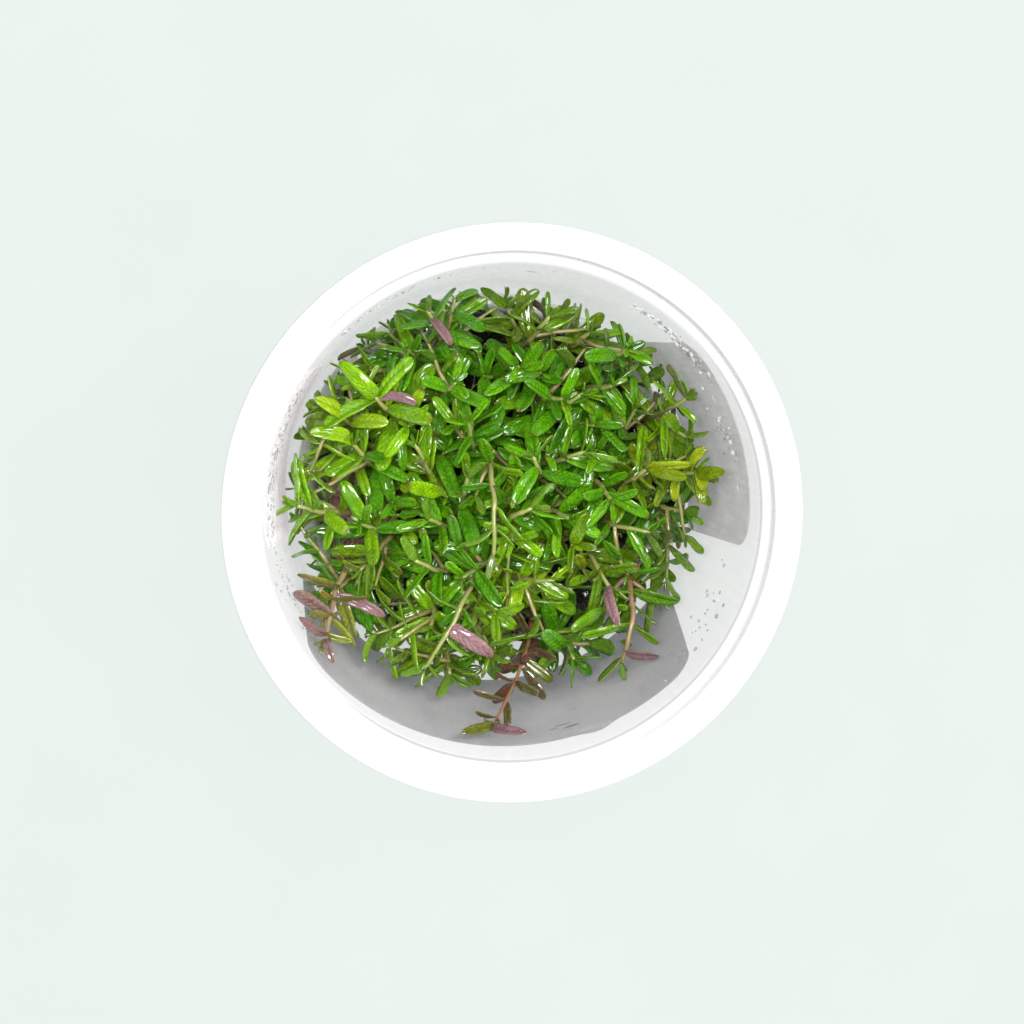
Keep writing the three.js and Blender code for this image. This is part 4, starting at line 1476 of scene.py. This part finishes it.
@material("{} leaf blade")
def leaf_blade(tree, shader, tone):
    mature = getattr(look(), f"leaf_{tone}")
    blade = leaf_pattern(
        tree,
        young=mixed(mature, look().leaf_young, 0.12 if tone in RUDDY else 0.6),
        mature=mature,
        deep=mixed(mature, (0.004, 0.07, 0.003), 0.6),
        yellowed=TONES[tone][1],
        vein=mixed(mature, (0.01, 0.02, 0.002), 0.7),
        under=look().leaf_underside,
        under_mauve=look().leaf_underside_mauve,
    )
    film = wet_film(tree, scale=1500.0, dry=0.3, wet=0.2)
    wet = tree.between(film["Patch"], 0.0, 1.0, 0.0, 0.8)
    shade(tree, shader, base_color=blade["Color"], roughness=film["Roughness"], coat_weight=wet)
    shade(tree, shader, coat_roughness=0.08, coat_ior=1.95, ior=1.38, specular_tint=(0.7, 1.0, 0.4))
    # Painted glow: the blade's own colour given off as emission, standing in for light that passes through
    # the leaves
    shade(tree, shader, emission_color=blade["Color"], emission_strength=look().leaf_glow)
    bump(tree, shader, tree.plus(blade["Height"], film["Height"]), 0.9, 0.6)


@material("{} stem skin")
def stem_skin(tree, shader, tone):
    along, near, _ = tree.attribute("place")
    body = getattr(look(), f"stem_{tone}", look().stem_pale)
    skin = mottle(tree, base=body, blotch=mixed(body, (0.1, 0.16, 0.02), 0.8))
    joint, redness = ((0.2, 0.035, 0.03), 0.5) if tone == "red" else ((0.3, 0.14, 0.06), 0.3)
    color = tree.mix(tree.times(near, redness), skin["Color"], joint)
    fresh = mixed(body, (0.16, 0.1, 0.05) if tone in RUDDY else look().leaf_young, 0.5)
    color = tree.mix(tree.between(along, 0.5, 1.0, 0.0, 0.4), color, fresh)
    film = wet_film(tree, scale=900.0, dry=0.5, wet=0.3)
    shade(tree, shader, base_color=color, roughness=film["Roughness"])
    shade(tree, shader, coat_weight=0.35, coat_roughness=0.12, coat_ior=1.8)
    bump(tree, shader, film["Height"], 0.5, 0.2)


@material("wet black gel")
def wet_gel(tree, shader):
    """Black gel that turns clear next to the wall, except at the lump."""
    black = mottle(tree, base=look().gel_colour, blotch=(0.03, 0.026, 0.02), scale=300.0)
    film = wet_film(tree, scale=420.0, dry=0.22, wet=0.08)
    x, y, z = tree.parts(tree.where())
    from_lump = tree.from_axis(tree.minus(x, GEL_LUMP["x"] * MM), tree.minus(y, GEL_LUMP["y"] * MM))
    clear = tree.times(
        tree.between(tree.from_axis(x, y), 32.6 * MM, 34.8 * MM),
        tree.between(from_lump, 6 * MM, 9.5 * MM),
        tree.between(z, 5.5 * MM, 7 * MM),
    )
    color = tree.mix(clear, black["Color"], look().clear_gel_colour)
    shade(tree, shader, base_color=color, roughness=film["Roughness"], ior=1.34)
    shade(tree, shader, coat_weight=0.8, coat_roughness=0.05)
    bump(tree, shader, film["Height"], 0.6, 0.5)


@material("old brown root tissue")
def brown_tissue(tree, shader):
    tissue = mottle(tree, base=look().old_root_colour, blotch=(0.1, 0.05, 0.03), scale=520.0, amount=0.8)
    film = wet_film(tree, scale=1000.0, dry=0.6, wet=0.35)
    shade(tree, shader, base_color=tissue["Color"], roughness=film["Roughness"], coat_weight=0.2)
    bump(tree, shader, film["Height"], 0.8, 0.4)


@material("pale root")
def pale_root(tree, shader):
    root = mottle(tree, base=(0.5, 0.4, 0.28), blotch=(0.3, 0.17, 0.1), scale=300.0)
    film = wet_film(tree, scale=1500.0, dry=0.5, wet=0.3)
    shade(tree, shader, base_color=root["Color"], roughness=film["Roughness"], coat_weight=0.2)
    bump(tree, shader, film["Height"], 0.4, 0.1)


@material("milky moulded plastic")
def milky_plastic(tree, shader):
    """Thin wall and denser rim, with the grey rings that the rim shows from above as painted shade, and a
    painted glow in the wall.
    """
    haze = plastic_haze(tree, scale=60.0)["Mask"]
    x, y, height = tree.parts(tree.where())
    base = look().plastic_colour
    rim = tree.between(height, (MOUTH_HEIGHT - 0.8) * MM, (CUP_HEIGHT - 0.9) * MM)
    color = tree.mix(rim, tree.mix(haze, base, mixed(base, (0.7, 0.7, 0.71), 0.1)), look().rim_colour)
    out = tree.from_axis(x, y)
    above = tree.between(height, (MOUTH_HEIGHT - 0.9) * MM, (MOUTH_HEIGHT - 0.6) * MM)
    # Painted shade: the grey ring over the rim's groove and the dark shadow line at the mouth on one side
    for low, high, tone, one_side in RIM_SHADE_BANDS:
        inside = tree.between(out, low * MM, (low + BAND_BLUR) * MM)
        outside = tree.between(out, high * MM, (high - BAND_BLUR) * MM)
        band = tree.times(inside, outside, above)
        if one_side:
            band = tree.times(band, tree.between(tree.minus(x, y), -0.01, 0.02))
        color = tree.mix(band, color, (tone, tone, tone * 1.01))
    cover = look().wall_cover
    body = tree.between(haze, 0.0, 1.0, cover - 0.012, cover + 0.012)
    alpha = tree.math("MAXIMUM", body, tree.times(rim, look().rim_cover))
    rough = tree.between(haze, 0.0, 1.0, 0.22, 0.34)
    shade(tree, shader, base_color=color, roughness=rough, alpha=alpha, ior=1.49)
    # Painted glow: emission that stands in for daylight scattered through the wall, left off on the rim
    scattered = tree.mix(rim, look().plastic_glow, (0, 0, 0))
    shade(tree, shader, emission_color=scattered, emission_strength=1.0)


@material("satin label film")
def label_face(tree, shader):
    """A pale film with one plain band and a thin line above it."""
    v = tree.attribute("place")[1]
    haze = plastic_haze(tree, scale=200.0)["Mask"]
    band = tree.times(tree.between(v, -0.66, -0.665), 0.9)
    line = tree.times(tree.between(v, -0.6, -0.605), tree.between(v, -0.635, -0.63))
    film = look().label_colour
    color = tree.mix(haze, film, mixed(film, (0.6, 0.62, 0.62), 0.15))
    color = tree.mix(tree.math("MAXIMUM", band, line), color, look().label_band)
    shade(tree, shader, base_color=color, roughness=tree.between(haze, 0.0, 1.0, 0.32, 0.42))
    shade(tree, shader, coat_weight=0.2, coat_roughness=0.2, **SCATTER)
    bump(tree, shader, haze, 0.1, 0.1)


@material("{} adhesive side")
def label_reverse(tree, shader, name):
    haze = plastic_haze(tree, scale=140.0)["Mask"]
    # Painted shade and light: each label's reverse gets its own tone and a painted glow in place of
    # daylight shining through it
    tone, glow = REVERSE_SHADE_AND_GLOW[name]
    grey = mixed((0, 0, 0), look().label_reverse_colour, tone)
    dark = (0.02, 0.02, 0.02)
    color = tree.mix(haze, mixed(grey, (1, 1, 1), 0.06), mixed(grey, dark, 0.5))
    # Painted shade where a crease lifts the label off the wall
    crease_shade = tree.between(tree.attribute("place")[2], 0.25, 0.9)
    color = tree.mix(crease_shade, color, mixed(grey, dark, 0.6))
    shade(tree, shader, base_color=color, roughness=0.6, emission_color=glow, emission_strength=1.0)
    shade(tree, shader, **SCATTER)


@material("clear condensed water")
def clear_water(tree, shader):
    """Drops painted grey as shade, darker at their rim, white ones as painted glints where the seed is
    below 0, and smears that thin out at their edge, painted from dark shade to white glint.
    """
    edge = tree.attribute("place")[0]
    seed, smear, tone = tree.attribute("kind")
    # Painted shade and glints: grey drops with a darker rim, white drops and white smears
    drop_shade_and_glint = tree.mix(tree.between(seed, -0.01, 0.0), (0.95, 0.96, 0.97), (0.3, 0.31, 0.31))
    color = tree.mix(smear, drop_shade_and_glint, tree.mix(tone, (0, 0, 0), (1, 1, 1)))
    body = tree.between(edge, 0.2, 1.0, 0.08, 0.5)
    worn = tree.between(edge, 1.0, 0.55, 0.0, 0.75)
    alpha = tree.plus(body, tree.times(smear, tree.minus(worn, body)))
    shade(tree, shader, base_color=color, roughness=0.04, ior=1.333, alpha=alpha)


@material("pale floor")
def pale_floor(tree, shader):
    grain = tree.between(tree.noise(tree.where(), 30.0, 2.0), 0.3, 0.7)
    tone = look().floor_colour
    color = tree.mix(grain, mixed(tone, (0, 0, 0), 0.96), mixed(tone, (0, 0, 0), 0.965))
    shade(tree, shader, base_color=color, roughness=0.9, specular_ior_level=0.0)
    shade(tree, shader, emission_color=tone, emission_strength=look().floor_glow)


def finish_piece(piece, slot, *nodes):
    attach(piece, "root")
    if nodes:
        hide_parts(*nodes)
    return piece


def number(kind, name, description, value, low, high, **more):
    return kind(name=name, description=description, default=value, min=low, max=high, **more)


def colour(name, description, value):
    return number(FloatVectorProperty, name, description, value, 0, 1, subtype="COLOR", size=3)


def share(name, description, value):
    return number(FloatProperty, name, description, value, 0, 1, subtype="FACTOR")


class CultureCupLook(bpy.types.PropertyGroup):
    """Sizes and colours that a user of this cup would change."""

    wall_cover: share("Wall cover", "How much one face of the wall hides", 0.22)
    rim_cover: share("Rim cover", "How much one face of the rim hides", 0.97)
    plastic_colour: colour("Plastic", "Milky plastic of the cup", (0.92, 0.86, 0.9))
    # Painted glow of the wall: an emission in place of daylight scattered through it
    plastic_glow: colour("Plastic glow", "Daylight scattered in the milky wall", (0.09, 0.04, 0.078))
    rim_colour: colour("Rim", "Denser plastic of the flange", (0.6, 0.595, 0.615))
    label_colour: colour("Label", "Face of the labels", (0.86, 0.87, 0.86))
    label_band: colour("Label band", "Plain band near a label's lower edge", (0.12, 0.36, 0.16))
    label_reverse_colour: colour("Label reverse", "Labels through the wall", (0.97, 0.98, 0.97))
    gel_colour: colour("Gel", "Nutrient gel", (0.006, 0.005, 0.005))
    clear_gel_colour: colour("Clear gel", "Gel without charcoal, next to the wall", (0.52, 0.56, 0.48))
    old_root_colour: colour("Old roots", "Mat of old root tissue", (0.27, 0.14, 0.1))
    leaf_green: colour("Green leaf", "Leaves of the green shoots", (0.06, 0.22, 0.001))
    leaf_lime: colour("Lime leaf", "Leaves of the lime shoots", (0.16, 0.33, 0.0015))
    leaf_olive: colour("Olive leaf", "Leaves of the olive shoots", (0.11, 0.19, 0.002))
    leaf_red: colour("Red leaf", "Leaves of the red shoots", (0.1, 0.02, 0.026))
    leaf_bronze: colour("Bronze leaf", "Leaves of the bronze shoot", (0.17, 0.13, 0.025))
    leaf_blush: colour("Blush leaf", "Leaves of the shoot with a pink stem", (0.1, 0.22, 0.003))
    leaf_young: colour("Young leaf", "Leaves at the tips", (0.16, 0.42, 0.002))
    leaf_underside: colour("Underside", "Pale underside of a leaf", (0.14, 0.23, 0.03))
    leaf_underside_mauve: colour("Mauve", "Underside of leaves grown in strong light", (0.22, 0.115, 0.14))
    stem_pale: colour("Stem", "Stems of the green shoots", (0.27, 0.25, 0.09))
    stem_red: colour("Red stem", "Stems of the red shoots", (0.21, 0.075, 0.05))
    stem_bronze: colour("Bronze stem", "Stem of the bronze shoot", (0.34, 0.21, 0.13))
    stem_blush: colour("Blush stem", "Stem with a pink tinge", (0.33, 0.17, 0.11))
    # Painted glow of the leaves, an emission in place of light passing through them
    leaf_glow: share("Leaf glow", "Light that passes through the blades", 0.085)
    side_shoots: number(IntProperty, "Side shoots", "Side shoots on each stem", 3, 0, 4)
    loose_roots: number(IntProperty, "Loose roots", "Thin roots over the gel", 70, 0, 200)
    floor_colour: colour("Floor", "Floor and backdrop", (0.831, 0.905, 0.863))
    floor_glow: number(FloatProperty, "Floor glow", "Light that the floor gives by itself", 0.915, 0, 2)
    lens: number(FloatProperty, "Lens", "Focal length of the camera", 82.3, 20, 300, unit="CAMERA")


class BuildCup(bpy.types.Operator):
    """The moulded cup with its foot ring, wall, ledge and flanged rim"""

    bl_idname = "culture_cup.build_cup"
    bl_label = "Moulded cup"

    def execute(self, context):
        finish_piece(build_cup_mesh(), "cup_plastic", "cup")
        return {"FINISHED"}


class BuildLabels(bpy.types.Operator):
    """The three plain labels stuck round the outside of the wall"""

    bl_idname = "culture_cup.build_labels"
    bl_label = "Labels"

    def execute(self, context):
        for name in LABELS:
            finish_piece(build_label_mesh(name), "label_film", name)
        return {"FINISHED"}


class BuildGel(bpy.types.Operator):
    """The black gel, the mat of old roots on it and the thin loose roots"""

    bl_idname = "culture_cup.build_gel"
    bl_label = "Gel and roots"

    def execute(self, context):
        finish_piece(build_gel_mesh(), "nutrient_gel", "gel")
        finish_piece(build_mat_mesh(), "old_roots", "root_mat")
        finish_piece(build_roots_mesh(look().loose_roots), "old_roots")
        return {"FINISHED"}


class BuildShoots(bpy.types.Operator):
    """Every shoot with its stem, leaf pairs, buds and side shoots"""

    bl_idname = "culture_cup.build_shoots"
    bl_label = "Shoots"

    def execute(self, context):
        stems = make_stems()
        tuft = Tuft(stems)
        grow_leaves(tuft, stems)
        for stem in stems:
            stem.roof = max(stem.roof, stem.marks[:, 2].max() + 2)
        grow_marked_leaves(tuft)
        tuft.windows = OPEN_VIEWS
        green = [stem for stem in stems if stem.colour not in RUDDY]
        grow_edge_shoots(tuft, green)
        grow_side_shoots(tuft, green, look().side_shoots)
        grow_axil_leaves(tuft, stems)
        grow_into_gaps(tuft)
        grow_lower_leaves(tuft, stems)
        grow_buds(stems)
        for index, stem in enumerate(stems):
            node = f"shoot_{index + 1:02d}"
            roll = make_dice(FINE_SEED + 100 + index)
            piece = build_shoot_mesh(stem, f"{node}_leafy", roll)
            finish_piece(piece, TONES[stem.colour][0], node)
        return {"FINISHED"}


class BuildDrops(bpy.types.Operator):
    """Condensed drops on the inside of the wall"""

    bl_idname = "culture_cup.build_drops"
    bl_label = "Drops"

    def execute(self, context):
        finish_piece(build_drops_mesh(), "cup_plastic")
        return {"FINISHED"}


# The camera, in metres: where it stands from the rim's middle, which way it leans, and its shift
RIM_CENTRE = (0, 0, CUP_HEIGHT * MM)
CAMERA_FROM_RIM = (-0.04, 0.0483, 0.3951)
CAMERA_BACK = (-0.086, 0.105)
CAMERA_SHIFT = (0.0295, -0.0317)
SENSOR_WIDTH = 36

# The floor, in metres: half its width and how far it lies below the cup
FLOOR_REACH = 6.0
FLOOR_DROP = 0.0002

# The daylight round the stage: its tint, and its strength on matt and on glossy things
SKY_TINT = (0.95, 0.97, 1.0)
SKY_STRENGTH = 0.3
SKY_IN_GLOSS = 0.02

# Lamps, in metres and watts: place, width and power. All of them face one place in the cup.
LAMPS = {
    "key": ((0.42, 0.48, 0.78), 0.34, 0.8),
    "top": ((-0.18, 0.05, 0.95), 0.3, 0.4),
    "side": ((0.86, 0.16, 0.42), 0.22, 0.6),
}
LIT_PLACE = (0, 0, 0.04)

# Small strong lamps that make the glints on wet leaves
SPARKS = (
    (0.1, 0.3, 0.8),
    (-0.3, 0.16, 0.75),
    (0.45, -0.05, 0.7),
    (0.2, -0.35, 0.75),
    (-0.12, 0.2, 0.85),
    (0.45, 0.35, 0.62),
)
SPARK_WIDTH = 0.2
SPARK_POWER = 2.8


def add_lamp(name, place, width, power):
    lamp = bpy.data.lights.new(name, "AREA")
    lamp.shape, lamp.size, lamp.energy = "DISK", width, power
    light = bpy.data.objects.new(name, lamp)
    light.location = place
    light.rotation_euler = (Vector(LIT_PLACE) - Vector(place)).to_track_quat("-Z", "Y").to_euler()
    bpy.context.scene.collection.objects.link(light)


def add_floor():
    mesh = bpy.data.meshes.new("pale_floor")
    corners = [(x * FLOOR_REACH, y * FLOOR_REACH, 0) for x, y in ((-1, -1), (1, -1), (1, 1), (-1, 1))]
    mesh.from_pydata(corners, [], [(0, 1, 2, 3)])
    mesh.materials.append(pale_floor())
    floor = bpy.data.objects.new("pale_floor", mesh)
    floor.location.z = -FLOOR_DROP
    bpy.context.scene.collection.objects.link(floor)


def add_surroundings():
    """Soft daylight that shows as the floor's own colour behind it."""
    world = bpy.data.worlds.new("soft surroundings")
    world.use_nodes = True
    tree = Tree(world.node_tree)
    path = tree.add("ShaderNodeLightPath").outputs
    seen = path["Is Camera Ray"]
    unseen = tree.between(path["Is Glossy Ray"], 0.0, 1.0, SKY_STRENGTH, SKY_IN_GLOSS)
    sky = world.node_tree.nodes["Background"]
    tree.feed(sky.inputs["Color"], tree.mix(seen, SKY_TINT, look().floor_colour))
    tree.feed(sky.inputs["Strength"], tree.between(seen, 0.0, 1.0, unseen, 1.0))
    bpy.context.scene.world = world


def add_camera():
    lens = bpy.data.cameras.new("camera")
    lens.lens, lens.sensor_width = look().lens, SENSOR_WIDTH
    lens.shift_x, lens.shift_y = CAMERA_SHIFT
    lens.clip_start, lens.clip_end = 0.01, 20
    camera = bpy.data.objects.new("camera", lens)
    x, y = CAMERA_BACK
    back = Vector((x, y, math.sqrt(1 - x * x - y * y)))
    right = Vector((0, 1, 0)).cross(back).normalized()
    camera.location = Vector(RIM_CENTRE) + Vector(CAMERA_FROM_RIM)
    camera.rotation_euler = Matrix((right, back.cross(right), back)).transposed().to_euler()
    bpy.context.scene.collection.objects.link(camera)
    bpy.context.scene.camera = camera


class BuildStage(bpy.types.Operator):
    """The pale floor, the soft light and the camera"""

    bl_idname = "culture_cup.build_stage"
    bl_label = "Stage"

    def execute(self, context):
        add_floor()
        add_surroundings()
        for name, (place, width, power) in LAMPS.items():
            add_lamp(name, place, width, power)
        for index, place in enumerate(SPARKS):
            add_lamp(f"spark_{index + 1}", place, SPARK_WIDTH, SPARK_POWER)
        add_camera()
        context.scene.view_settings.view_transform = "Standard"
        return {"FINISHED"}


OPERATORS = (BuildCup, BuildLabels, BuildGel, BuildShoots, BuildDrops, BuildStage)


class CultureCupPanel(bpy.types.Panel):
    """Lists the steps that build the cup"""

    bl_idname = "VIEW3D_PT_culture_cup"
    bl_label = "Culture Cup"
    bl_space_type = "VIEW_3D"
    bl_region_type = "UI"
    bl_category = "Culture Cup"

    def draw(self, context):
        for operator in OPERATORS:
            self.layout.operator(operator.bl_idname)
        for name in CultureCupLook.__annotations__:
            self.layout.prop(context.scene.culture_cup, name)


CLASSES = (CultureCupLook, *OPERATORS, CultureCupPanel)


def register():
    for one in CLASSES:
        bpy.utils.register_class(one)
    bpy.types.Scene.culture_cup = PointerProperty(type=CultureCupLook)


def unregister():
    del bpy.types.Scene.culture_cup
    for one in reversed(CLASSES):
        bpy.utils.unregister_class(one)


def main():
    register()
    bpy.ops.culture_cup.build_cup()
    bpy.ops.culture_cup.build_labels()
    bpy.ops.culture_cup.build_gel()
    bpy.ops.culture_cup.build_shoots()
    bpy.ops.culture_cup.build_drops()
    bpy.ops.culture_cup.build_stage()


if __name__ == "__main__":
    main()
